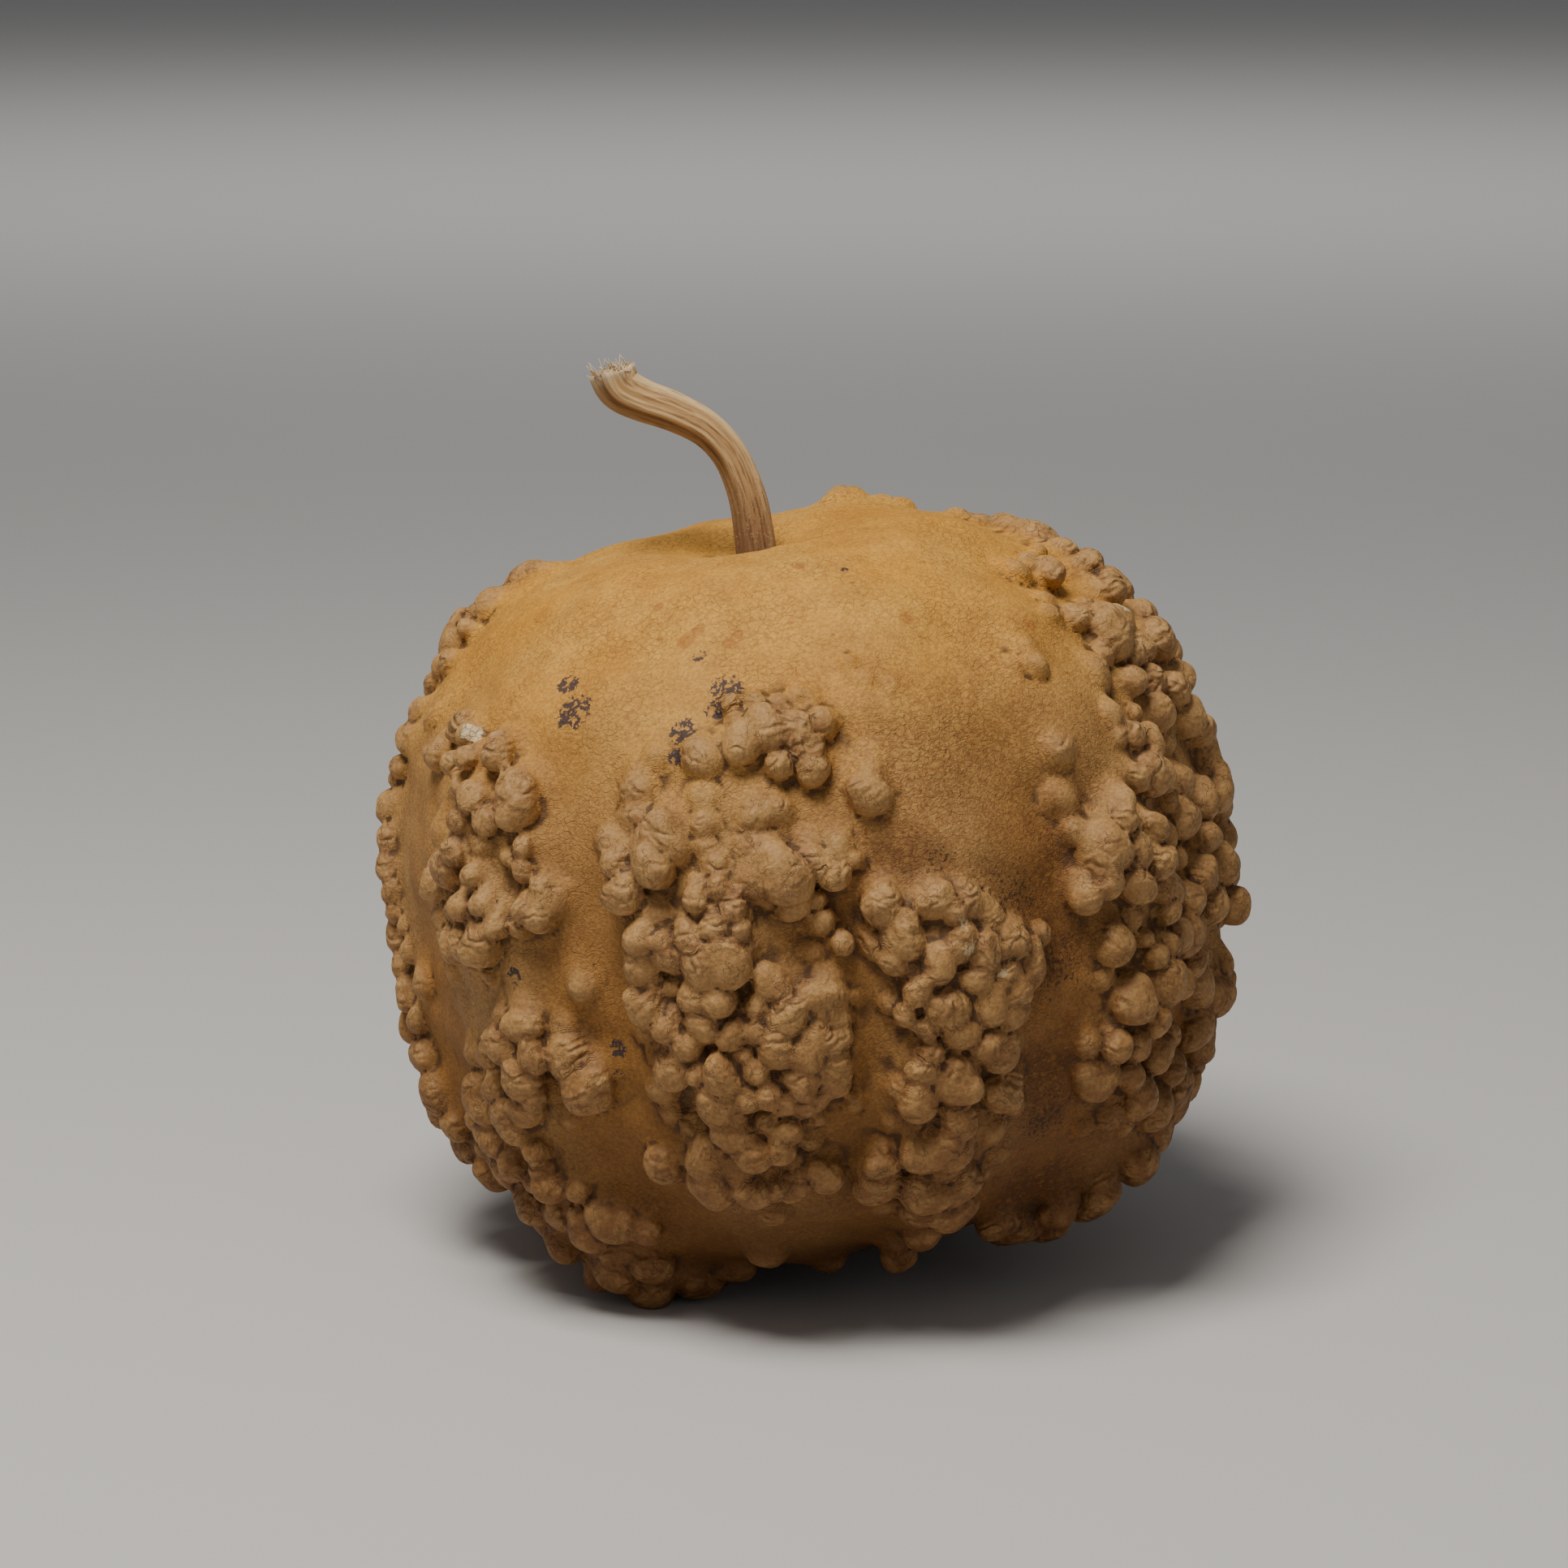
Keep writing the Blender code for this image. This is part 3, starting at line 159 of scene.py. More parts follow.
LEFT_RIB_WARTS = (
    (-67, 33, 3.6, 5.5, 3, 1), (-61, 36, 3.1, 5.5, 1, 1), (-56, 35, 2.6, 5.5, 1, 1),
    (-52, 32, 2.2, 5.5, 1, 1), (-46, 33, 2.9, 6.0, 3, 1), (-57, 31, 2.6, 6.0, 1, 0),
    (-54, 28, 2.9, 3.5, 0, -1), (-49, 27, 3.1, 5.5, 1, 1), (-41, 27, 4.8, 5.5, 3, 1),
    (-50, 24, 2.6, 5.5, 1, -1), (-46, 24, 2.9, 6.0, 1, 2), (-53, 22, 2.2, 3.0, 1, 0),
    (-46, 21, 2.4, 3.5, 1, -1), (-61, 23, 4.3, 2.5, 3, 0), (-61, 18, 4.1, 2.5, 3, 0),
    (-51, 20, 2.6, 5.5, 1, 0), (-54, 18, 3.8, 6.5, 2, 1), (-59, 15, 2.9, 5.5, 2, 1),
    (-39, 21, 2.3, 3.5, 1, 0), (-42, 19, 1.8, 3.0, 0, 0), (-39, 18, 2.5, 3.5, 1, -1),
    (-47, 17, 2.2, 5.5, 0, -1), (-46, 14, 2.8, 5.5, 2, 0), (-36, 16, 2.4, 5.5, 2, 0),
    (-39, 13, 2.4, 5.5, 2, 0), (-35, 13, 3.4, 6.5, 3, -5), (-50, 13, 2.9, 5.5, 1, 0),
    (-54, 12, 2.9, 3.5, 1, 1), (-59, 11, 3.8, 3.0, 2, 0), (-44, 11, 2.8, 5.5, 3, 0),
    (-41, 10, 2.3, 3.5, 1, 0), (-59, 8, 2.6, 3.0, 1, 2), (-55, 7, 3.1, 5.5, 2, 1),
    (-51, 8, 3.0, 5.5, 1, 0), (-47, 8, 4.1, 6.0, 1, 0), (-50, 4, 2.4, 2.5, 1, 0),
    (-47, 3, 1.8, 2.5, 0, 0), (-60, 3, 4.8, 2.0, 3, 0), (-32, 3, 4.6, 2.5, 2, 0),
    (-46, -2, 2.2, 3.0, 1, 1), (-42, -3, 3.8, 6.5, 1, 0), (-37, -3, 3.8, 2.5, 2, 0),
    (-46, -6, 3.8, 6.0, 1, 0), (-41, -7, 3.1, 6.5, 1, 0), (-44, -10, 3.8, 7.0, 2, 0),
    (-36, -8, 4.8, 6.5, 1, -1), (-34, -12, 5.2, 7.5, 2, 0), (-52, -9, 3.1, 3.5, 1, 0),
    (-57, -8, 3.8, 3.0, 4, 0), (-43, -13, 2.4, 6.5, 1, 0), (-51, -13, 3.1, 5.5, 1, 0),
    (-45, -15, 3.5, 6.0, 1, 0), (-49, -17, 4.1, 6.5, 2, 0), (-39, -17, 2.8, 3.0, 3, 0),
    (-46, -21, 2.9, 6.0, 1, 0), (-58, -16, 4.6, 5.5, 2, 0), (-57, -21, 3.8, 6.5, 2, 0),
    (-65, -20, 2.6, 5.5, 2, 0), (-65, -25, 2.4, 6.0, 0, 0), (-53, -24, 3.8, 6.5, 1, 0),
    (-47, -24, 3.1, 6.5, 1, 1), (-50, -27, 2.8, 6.0, 1, 0), (-46, -27, 3.5, 7.0, 1, 0),
    (-42, -28, 2.4, 5.5, 1, 0), (-61, -27, 4.8, 6.5, 3, 0), (-56, -32, 4.3, 6.5, 2, 0),
    (-60, -37, 4.8, 6.5, 2, 0), (-62, -42, 4.6, 6.5, 3, 0), (-50, -33, 4.1, 5.5, 1, 0),
    (-44, -34, 4.2, 6.5, 1, 0), (-38, -33, 4.3, 6.5, 1, 0), (-34, -35, 3.1, 5.5, 1, 0),
    (-55, -39, 3.8, 7.0, 1, 1), (-50, -43, 3.2, 6.5, 2, 0), (-45, -42, 5.2, 6.5, 2, 0),
    (-38, -42, 3.8, 6.0, 1, 0), (-58, -48, 4.0, 6.5, 2, 0), (-51, -50, 4.1, 7.0, 2, 0),
    (-36, -50, 4.1, 6.5, 3, 0), (-28, -51, 3.6, 4.5, 1, 0), (-42, -56, 4.3, 5.5, 1, 0),
    (-66, -50, 4.1, 5.5, 1, 0), (-55, -57, 3.8, 5.5, 1, 0),
)
MIDDLE_RIB_WARTS = (
    (-5, 38, 2.5, 3.0, 1, 0), (-1, 37, 2.6, 3.5, 1, 0), (3, 37, 2.0, 3.0, 0, 0),
    (7, 38, 4.8, 2.5, 2, 0), (8, 34, 3.3, 4.5, 1, 0), (-4, 35, 2.4, 3.5, 0, 0),
    (-4, 32, 3.4, 6.0, 1, 0), (0, 33, 3.6, 6.5, 1, 0), (4, 33, 3.6, 6.5, 1, 0),
    (5, 31, 3.4, 6.0, 1, 0), (1, 29, 2.6, 5.5, 1, 0), (6, 28, 3.0, 5.0, 1, -1),
    (-10, 32, 4.6, 4.0, 2, 0), (-17, 32, 4.3, 2.0, 1, 0), (-20, 29, 4.6, 2.5, 2, 0),
    (-20, 25, 4.6, 2.5, 1, 0), (-24, 22, 4.3, 3.5, 1, -2), (-21, 21, 3.8, 3.0, 1, 0),
    (-10, 27, 4.8, 2.5, 2, 0), (-10, 23, 3.8, 3.5, 1, 0), (-15, 23, 3.0, 2.0, 1, 0),
    (-3, 23, 4.3, 3.5, 1, 0), (0, 23, 4.1, 3.5, 1, 0), (-10, 20, 3.0, 2.5, 1, 0),
    (-16, 21, 5.0, 5.5, 1, 0), (-17, 18, 3.8, 7.5, 2, 0), (-22, 19, 2.8, 5.5, 1, -3),
    (-22, 15, 3.8, 7.0, 1, -1), (-9, 18, 3.6, 3.0, 1, 0), (-5, 19, 2.9, 3.0, 0, 1),
    (-3, 17, 3.5, 6.5, 0, 3), (-2, 14, 4.6, 8.0, -1, 4), (-1, 11, 3.0, 6.5, 0, 3),
    (3, 19, 4.3, 3.5, 1, 1), (6, 18, 4.8, 3.0, 1, 0), (4, 16, 2.9, 5.5, 1, 0),
    (6, 14, 2.9, 6.0, 1, 0), (9, 15, 1.8, 2.5, 0, 0), (-12, 14, 2.4, 6.0, 2, 0),
    (-9, 15, 1.9, 5.5, 1, 0), (-8, 12, 2.5, 5.5, 2, 1), (-18, 12, 4.1, 3.5, 1, 0),
    (-20, 9, 3.8, 6.5, 2, 0), (-17, 8, 2.2, 6.0, 0, 0), (-13, 9, 3.8, 7.0, 2, 0),
    (-10, 10, 2.9, 6.0, 1, 0), (-7, 9, 2.2, 5.5, 1, 0), (-16, 7, 3.1, 5.5, 3, 0),
    (-12, 5, 4.1, 7.0, 0, 0), (-9, 5, 4.3, 8.0, 0, 1), (-7, 6, 2.0, 5.5, 0, 1),
    (-2, 8, 4.4, 1.0, 2, 0), (3, 11, 2.0, 3.0, 1, 0), (3, 8, 2.4, 4.0, 1, 1),
    (-21, 5, 3.8, 6.0, 1, 0), (5, 4, 2.2, 5.0, -1, 2), (1, 4, 2.2, 2.0, 0, 2),
    (-21, 0, 3.6, 6.5, 2, 0), (-18, -3, 2.6, 7.5, 1, -1), (-23, -4, 3.4, 2.5, 2, 0),
    (-17, 2, 1.9, 3.0, 0, 0), (-14, 1, 3.6, 7.0, 0, 1), (-12, 3, 2.9, 5.5, 0, 1),
    (-12, 0, 3.4, 6.5, 0, 2), (-14, -3, 3.4, 6.5, 1, 2), (2, -2, 4.4, 6.0, 1, 0),
    (6, -3, 2.2, 3.0, 1, 0), (-4, 1, 3.6, 5.5, 1, 0), (-3, -3, 3.8, 7.5, 2, 0),
    (-6, -2, 2.9, 5.5, 0, -1), (-7, -5, 2.8, 6.0, 0, 0), (-10, -5, 3.1, 6.0, 1, 0),
    (-5, -7, 3.6, 7.5, 1, 0), (-9, -8, 1.9, 6.0, 0, 0), (1, -4, 3.6, 6.0, 1, 2),
    (-1, -8, 4.1, 7.0, 2, -1), (3, -5, 3.4, 6.0, 1, 0), (2, -8, 3.4, 6.5, 1, 0),
    (2, -11, 3.6, 7.0, 2, 0), (-3, -12, 3.1, 6.5, 0, 1), (-7, -13, 2.8, 6.0, 1, -1),
    (-8, -10, 2.8, 6.0, 0, 0), (2, -14, 2.9, 5.5, 1, 0), (-17, -6, 2.8, 6.5, 0, 3),
    (-19, -9, 3.6, 6.5, 1, 0), (-22, -7, 2.8, 2.5, 2, 0), (-23, -12, 4.1, 3.0, 1, 0),
    (-22, -16, 3.1, 2.5, 1, 0), (-15, -9, 2.3, 6.0, 2, -2), (-12, -10, 3.6, 7.5, 1, 0),
    (-13, -14, 4.1, 7.0, 1, -1), (-10, -13, 2.9, 6.5, 1, 0), (-12, -16, 2.4, 6.0, 0, 1),
    (-19, -18, 2.3, 2.5, 2, 0), (-8, -17, 2.4, 6.0, 1, 0), (-6, -15, 2.9, 6.0, 0, 2),
    (-2, -16, 3.5, 5.5, 0, 1), (1, -15, 2.0, 3.5, 0, 1), (4, -17, 2.4, 3.0, 2, 0),
    (-12, -19, 3.8, 6.5, 0, 0), (-11, -21, 3.6, 7.0, 1, 0), (-6, -19, 2.9, 6.0, 0, 1),
    (-7, -21, 3.1, 6.5, 1, 0), (-1, -19, 2.0, 3.5, 0, 0), (-3, -22, 2.4, 3.0, 1, 0),
    (-6, -24, 2.6, 3.5, 1, 0), (-17, -22, 4.1, 6.5, 1, 0), (-18, -26, 4.8, 8.0, 2, 0),
    (-25, -24, 3.8, 5.5, 1, 0), (-22, -23, 3.1, 2.5, 1, 0), (-26, -27, 3.8, 2.0, 1, 0),
    (-13, -24, 3.1, 6.0, 0, -1), (-12, -27, 3.8, 7.5, 0, 2), (-9, -27, 2.6, 6.5, 0, 1),
    (-6, -28, 3.4, 6.0, 1, -1), (-3, -27, 3.8, 6.0, 2, 1), (-15, -31, 3.6, 2.5, 1, 0),
    (-11, -33, 4.1, 3.0, 1, 0), (7, -27, 3.1, 5.5, 1, 0), (6, -30, 4.8, 7.5, 2, 0),
    (6, -36, 4.8, 2.5, 1, 0), (9, -21, 2.8, 2.0, 1, 0), (-17, -45, 4.4, 4.0, 1, 1),
    (-8, -56, 4.0, 3.5, 1, 1),
)
CENTRE_RIGHT_RIB_WARTS = (
    (15, 41, 2.4, 1.5, 1, 1), (17, 38, 3.4, 1.5, 1, 0), (21, 37, 3.6, 1.5, 1, 0),
    (14, 26, 4.4, 2.0, 1, 0), (13, 23, 4.0, 4.5, 1, 0), (12, 9, 3.8, 6.0, 2, 0),
    (18, 8, 3.6, 5.5, 0, 2), (22, 7, 3.6, 6.0, 1, 2), (14, 5, 4.1, 7.5, 2, -1),
    (20, 6, 2.5, 7.0, 0, 1), (25, 5, 3.8, 6.0, 2, 0), (10, 4, 2.6, 3.5, 2, 0),
    (12, 2, 3.0, 6.0, 1, 1), (14, 1, 2.6, 3.5, 2, 1), (20, 2, 3.1, 7.5, 0, 2),
    (17, 1, 2.8, 6.0, 0, 2), (17, -1, 2.9, 7.0, 0, 2), (15, -3, 2.9, 6.5, 0, -1),
    (23, 0, 3.4, 8.0, 1, 0), (25, -3, 3.8, 7.0, 2, 0), (27, 2, 2.9, 5.5, 1, 0),
    (28, 0, 3.8, 6.5, 1, 0), (33, -1, 2.6, 3.5, 0, 4), (26, 0, 2.9, 6.5, 0, -1),
    (27, -6, 3.5, 6.5, 1, -1), (30, -4, 4.6, 5.5, 1, 1), (11, -4, 2.4, 3.0, 1, -1),
    (13, -6, 2.3, 5.5, 0, -1), (18, -6, 3.8, 7.0, 1, 0), (15, -8, 2.4, 6.0, 1, 0),
    (19, -9, 3.6, 6.5, 1, 0), (23, -6, 3.6, 7.5, 1, 0), (26, -9, 3.4, 6.0, 1, 1),
    (22, -3, 3.1, 7.0, 1, 0), (15, -12, 2.8, 5.5, 0, 0), (14, -14, 3.4, 6.5, 0, -1),
    (18, -16, 4.6, 8.0, 1, 0), (12, -18, 3.8, 7.5, 1, 2), (17, -21, 3.8, 6.5, 1, 0),
    (22, -12, 3.4, 6.0, 0, 1), (25, -14, 4.1, 6.5, 1, 0), (25, -20, 4.1, 5.5, 1, 0),
    (27, -23, 2.8, 3.0, 1, 0), (23, -26, 3.6, 3.5, 1, 0), (25, -30, 3.4, 3.0, 1, 0),
    (14, -25, 5.0, 7.5, 1, 0), (17, -26, 3.8, 6.5, 1, 0), (16, -29, 2.9, 6.0, 1, 0),
    (13, -32, 4.3, 7.0, 1, 0), (18, -32, 4.1, 6.5, 1, 0), (22, -32, 3.1, 3.0, 1, 0),
    (17, -38, 4.6, 6.5, 1, 0), (12, -37, 3.6, 5.5, 1, 0), (14, -44, 3.8, 6.5, 1, 0),
    (10, -51, 3.6, 6.0, 2, 0),
)
RIGHT_RIB_WARTS = (
    (48, 37, 4.1, 1.5, 1, 0), (48, 34, 3.8, 2.5, 1, 0), (44, 35, 4.3, 1.5, 1, 0),
    (45, 23, 5.3, 2.5, 1, 0), (43, 16, 4.6, 3.0, 1, 0), (43, 12, 3.1, 3.5, 1, 0),
    (56, 15, 2.6, 5.5, 1, 2), (52, 13, 2.6, 5.5, 1, -3), (50, 11, 3.1, 5.5, 1, 0),
    (60, 20, 3.1, 5.5, 1, 0), (63, 18, 3.1, 7.0, 1, 0), (61, 15, 4.1, 7.5, 1, 0),
    (57, 21, 3.8, 2.5, 1, 0), (58, 24, 4.1, 3.0, 1, 0), (61, 30, 5.0, 3.5, 1, 0),
    (46, 8, 5.0, 6.5, 1, 0), (45, 4, 3.6, 7.0, 1, 0), (42, 3, 3.2, 6.5, 1, 0),
    (53, 9, 2.4, 3.0, 0, 0), (57, 8, 3.6, 6.5, 1, 0), (51, 6, 3.6, 6.0, 1, 0),
    (50, 2, 3.4, 6.5, 1, 0), (56, 4, 3.0, 7.0, 3, -1), (58, 0, 3.8, 6.0, 1, 0),
    (53, 1, 3.1, 3.5, 1, 0), (50, -2, 2.9, 2.5, 1, 0), (46, -5, 3.6, 5.5, 1, 0),
    (52, -6, 1.9, 3.0, 0, 0), (53, -9, 2.5, 5.5, 0, 0), (57, -9, 2.8, 5.5, 0, 0),
    (58, -4, 2.8, 5.5, 1, 0), (45, -10, 3.6, 2.5, 1, 0), (48, -13, 4.3, 6.5, 1, 0),
    (55, -13, 4.3, 7.0, 1, 0), (52, -17, 2.9, 7.0, 2, 0), (60, -15, 2.9, 6.5, 1, 0),
    (45, -19, 3.0, 6.0, 1, 0), (49, -20, 3.1, 5.5, 0, 0), (41, -18, 3.6, 3.5, 1, 0),
    (42, -23, 4.6, 5.5, 4, 0), (48, -24, 3.0, 6.5, 1, 0), (54, -23, 3.1, 6.0, 1, -1),
    (58, -22, 2.8, 6.0, 0, 0), (54, -19, 2.4, 3.5, 0, 0), (50, -28, 4.3, 6.5, 1, 0),
    (46, -30, 3.6, 3.5, 1, 0), (42, -31, 3.4, 2.0, 1, 0), (50, -33, 2.8, 3.0, 0, 0),
    (56, -32, 4.1, 6.5, 1, 0), (60, -27, 3.6, 6.0, 1, 0), (55, -38, 3.8, 6.5, 1, 0),
    (60, -36, 4.6, 6.5, 1, 0), (62, -42, 4.8, 7.0, 1, 0), (51, -43, 3.8, 6.5, 1, 0),
    (55, -48, 4.3, 7.0, 1, 0), (46, -48, 3.6, 6.5, 1, 0), (50, -53, 4.1, 7.0, 1, 0),
    (40, -52, 4.8, 7.5, 1, 0), (33, -49, 3.6, 7.0, 1, 0), (65, -32, 3.1, 6.5, 1, 0),
)
RIGHT_EDGE_WARTS = (
    (141, 66, 6.4, 2.5, 0, 3), (133, 62, 4.0, 1.5, 0, 0), (129, 60, 4.0, 1.5, 0, 0),
    (118, 54, 3.8, 3.5, 0, 0), (114, 52, 2.4, 3.0, 0, 0), (108, 49, 2.2, 3.0, 0, 0),
    (103, 47, 3.8, 5.5, 0, 0),
    (70, 48, 3.6, 3.0, 1, 0), (76, 47, 3.1, 3.5, 0, 0), (85, 47, 2.4, 3.0, 0, 0),
    (100, 45, 4.3, 6.5, 0, 0), (94, 43, 3.6, 6.5, 0, 0), (75, 44, 3.1, 5.5, 1, 0),
    (66, 42, 4.1, 2.5, 1, 0), (62, 40, 3.6, 2.5, 1, 0), (96, 39, 3.6, 7.5, 0, 0),
    (88, 40, 2.9, 6.5, 0, 0), (66, 37, 3.1, 5.5, 1, -1), (68, 35, 2.8, 3.5, 1, 0),
    (71, 33, 5.0, 7.5, 1, -2), (76, 37, 2.3, 3.0, 0, 0), (85, 36, 3.4, 6.5, 0, 0),
    (96, 34, 3.6, 7.5, 0, 0), (79, 33, 3.1, 5.5, 1, 0), (66, 31, 2.9, 3.5, 0, 0),
    (91, 30, 3.6, 6.5, 0, 0), (74, 29, 3.1, 5.5, 0, 0), (80, 28, 2.9, 5.5, 0, 0),
    (86, 27, 4.1, 7.5, 0, 0), (92, 24, 3.6, 7.5, 0, 0), (88, 21, 3.4, 6.5, 0, 0),
    (69, 26, 3.0, 6.0, 0, 0), (76, 24, 3.4, 5.5, 0, 0), (81, 21, 3.1, 6.5, 0, 0),
    (66, 22, 2.4, 3.5, 0, 0), (73, 20, 3.8, 5.5, 0, 0), (83, 17, 3.6, 6.5, 0, 0),
    (75, 16, 3.6, 3.0, 0, 0), (86, 14, 3.6, 7.0, 0, 0), (88, 10, 3.8, 7.5, 1, 0),
    (75, 10, 3.6, 5.5, 0, 0), (68, 12, 3.1, 5.5, 0, 0), (70, 8, 2.8, 3.0, 0, 0),
    (88, 5, 4.8, 8.0, 0, 0), (91, 2, 4.1, 8.5, 0, 0), (82, 5, 3.6, 5.5, 0, 0),
    (73, 5, 4.1, 5.5, 0, 1), (67, 4, 3.6, 3.0, 0, 0), (92, -3, 3.8, 8.0, 0, 0),
    (80, 0, 3.6, 6.5, 0, 0), (85, -5, 4.1, 7.5, 0, 0), (93, -8, 4.1, 7.5, 0, 0),
    (65, 1, 2.8, 3.5, 0, 0), (70, 0, 2.8, 3.5, 0, 0), (75, -4, 4.1, 6.5, 0, 0),
    (63, -3, 3.6, 5.5, 0, 0), (69, -6, 3.6, 6.0, 0, 0), (77, -9, 3.8, 6.5, 0, 0),
    (66, -10, 4.8, 6.0, 0, 0), (61, -9, 3.4, 6.5, 0, 0), (86, -11, 3.6, 7.5, 0, 0),
    (72, -19, 4.8, 6.5, 0, 0),
)

LISTED_WARTS = (LEFT_EDGE_WARTS + LEFT_RIB_WARTS + MIDDLE_RIB_WARTS + CENTRE_RIGHT_RIB_WARTS
                + RIGHT_RIB_WARTS + RIGHT_EDGE_WARTS)

# Where warts aren't read off, on the far side and underneath, they are drawn by a rule:
# azimuth of the bunch, half width, lowest and highest height angle, number tried for.
DRAWN_BUNCHES = (
    (86, 20, -44, -8, 34), (103, 9, -8, 40, 20), (-100, 11, -40, 46, 42),
    (124, 12, -50, 48, 58), (160, 12, -52, 44, 54), (197, 12, -52, 46, 54),
    (234, 12, -50, 46, 56),
)
DRAW_SEED = 41
DRAW_TRIES = 60
DRAWN_RADIUS = (2.4, 5.2)
# How far apart they stand at least, as a share of their radii, their rise as a share of the radius
# and what is added to it, and how far a tip hangs and leans.
DRAWN_APART = 0.8
DRAWN_RISE = (0.9, 1.4)
DRAWN_LIFT = 1.0
DRAWN_HANG = (0, 3)
DRAWN_SLIDE = (-2, 2)
LOBE_SEED = 5

# The three low warts that the fruit rests on: place on the ground, from under its centre.
FEET = ((-32, -45), (32, 14), (-22, 36))
FOOT_RADIUS = 5.8
FOOT_ROOT_RADIUS = 7.8
FOOT_FLAT = 1.4

# The stem's centreline seen from the front, from its root in the dimple: right and up.
STEM_LINE = ((0, 0), (-0.8, 6.2), (-2.2, 13.8), (-5.5, 22), (-10.5, 27.8), (-17.5, 31.6), (-24, 33.9),
             (-28.4, 36.2), (-30.2, 39.2), (-30.6, 42))
# The stem's waist and its flare at the end: how much, where and how far, as shares of its radius
# and length.
STEM_WAIST = (0.17, 0.45, 0.3)
STEM_FLARE = (0.1, 1.0, 0.12)
# Ridges round the stem: how many, where the first stands, how far they twist along it, and their
# height as a share of its radius.
STEM_RIDGES = ((5, 0.0, 1.2, 0.062), (10, 0.0, 0.0, 0.03), (3, 2.1, -0.8, 0.04), (7, 0.0, 2.0, 0.03))
# Its lightest ridge and its deepest furrow: degrees round it from its underside, half width, height.
LONE_RIDGES = ((218, 12, 0.05), (316, 11, -0.07))
STEM_SEED = 7
STEM_SIDES = 96
STEM_RINGS = 120
# Its torn end: how far its rim waves and is jagged, and how deep its middle is sunk.
TEAR_WAVE = 0.6
TEAR_JAG = 0.5
END_SUNK = 1.5
# How far the stem ends short of its solid, which fibres stand for: how many, their place from the
# middle as a share of the stem's radius, how deep they are rooted, and their width, length and
# half thickness.
STEM_TORN = 2.3
FIBRES = 130
FIBRE_SEED = 13
FIBRE_ASIDE = (0.2, 1.02)
FIBRE_ROOT = 0.8
FIBRE_WIDTH = (0.2, 1.5)
FIBRE_LENGTH = (1.0, 3.6)
FIBRE_HALF_THICKNESS = 0.07
FIBRE_RINGS = 5

# The finer drawing of the rind: the grid's step, the triangles kept, and the longest edge that isn't
# halved.
FINE_VOXEL = 0.85
FINE_TRIANGLES = 168000
LONG_EDGE = 2.6

# Folds across the warts: how far apart, how far out from a wart they reach, how the direction
# across them turns from straight down, the shares of warts with deep and with faint folds, how
# deep faint ones are, and the least radius of a wart with folds.
FOLD_SPACING = 2.3
FOLD_REACH = 1.6
FOLD_TURN = 0.8
FOLD_SEED = 23
DEEP_SHARE = 0.35
FAINT_SHARE = 0.4
FAINT_FOLDS = 0.4
MIN_FOLDED = 2.3

# The skin's slow swells: their length and height. Then the moat and collar round the stem.
SWELL_WAVES = ((26.0, 0.28), (13.0, 0.12), (6.0, 0.05))
SWELL_SEED = 9
MOAT_RADIUS = 5.0
MOAT_DEPTH = 1.3
MOAT_REACH = 0.8
COLLAR_RADIUS = 8.0
COLLAR_RISE = 0.7
COLLAR_REACH = 2.4

# How many times the points are smoothed to find the narrow creases and the broad hollows.
SMOOTHINGS = (("crease", 2), ("hollow", 9))
# The level that a pinched place of the field is filled to.
PINCH_FILL = -0.05
PINCH_ROUNDS = 8

# Marks on the rind: azimuth, height angle and reach in mm. Most angles of the marks in front,
# worn tips included, were worked out outside this script from places read one by one, and rounded.
MILDEW = ((-38, 43.5, 3.6), (-34, 39, 6.0), (-5.5, 40, 5.0), (-7.5, 37, 3.4), (-12.5, 34.5, 4.4),
          (-13.5, 31.5, 3.0), (-10.5, 46, 2.2), (-28.5, -7.5, 2.8), (-29.5, -11.5, 2.6), (-43, 3, 2.8),
          (27, 59, 1.4), (150, 30, 5.0), (210, -12, 4.5))
SPECKS = ((31, 5, 13.0), (20, 13, 7.0), (36, -6, 15.0), (34, -28, 14.0), (178, 12, 12.0))
FRECKLES = ((-24, 57, 1.8), (-22, 54, 1.4), (-21, 51, 2.2), (-14, 49.5, 3.6), (-11.5, 51, 2.6),
            (-5, 48, 2.4), (-3, 49.5, 1.8), (8, 50.5, 1.4), (31, 46.5, 2.6), (54, 39, 2.6), (-37, 55, 1.4),
            (16, 62, 2.0), (160, 52, 2.8), (215, 47, 2.4))
STAINS = ((16, 15, 12.0), (12, 12, 9.0), (20, 10, 9.0), (34, -3, 22.0), (38, 8, 17.0), (35, -22, 20.0),
          (37, -42, 22.0), (172, 5, 24.0), (-110, 10, 18.0))
# Where the skin is granular: the right of the front, and a patch of the far side.
GRANULAR = ((27, 12, 62.0), (31, -28, 52.0), (190, 0, 70.0))
# Scabs and worn tips: azimuth, height angle, reach and rise above the skin.
SCABS = ((-53, 35, 2.9, 3.0), (79, 34, 2.6, 5.0), (-64, -42, 2.2, 6.0), (205, 22, 2.6, 3.0))
WORN_TIPS = ((21, 4.5, 1.5, 7.0), (21, 1, 1.4, 7.0), (25, -3, 1.3, 7.0), (48, 30, 1.2, 7.0))

# The sizes of the patterns on the rind, in mm.
GRAIN_SIZE = 0.8
WORM_SIZE = 1.5
MOTTLE_SIZE = 1.5
CRACKLE_SIZE = 2.1
FLECK_SIZE = 2.6
LINE_SIZE = 3.4
PINCH_SIZE = 5.8
CLOUD_SIZE = 30.0
# Their heights, in mm.
GRAIN_RELIEF = 0.16
CRACKLE_RELIEF = 0.08
WORM_RELIEF = 0.05
LINE_RELIEF = 0.16
FOLD_RELIEF = 0.42
PINCH_RELIEF = 0.48
LUMP_RELIEF = 0.3
SCAB_RELIEF = 0.25
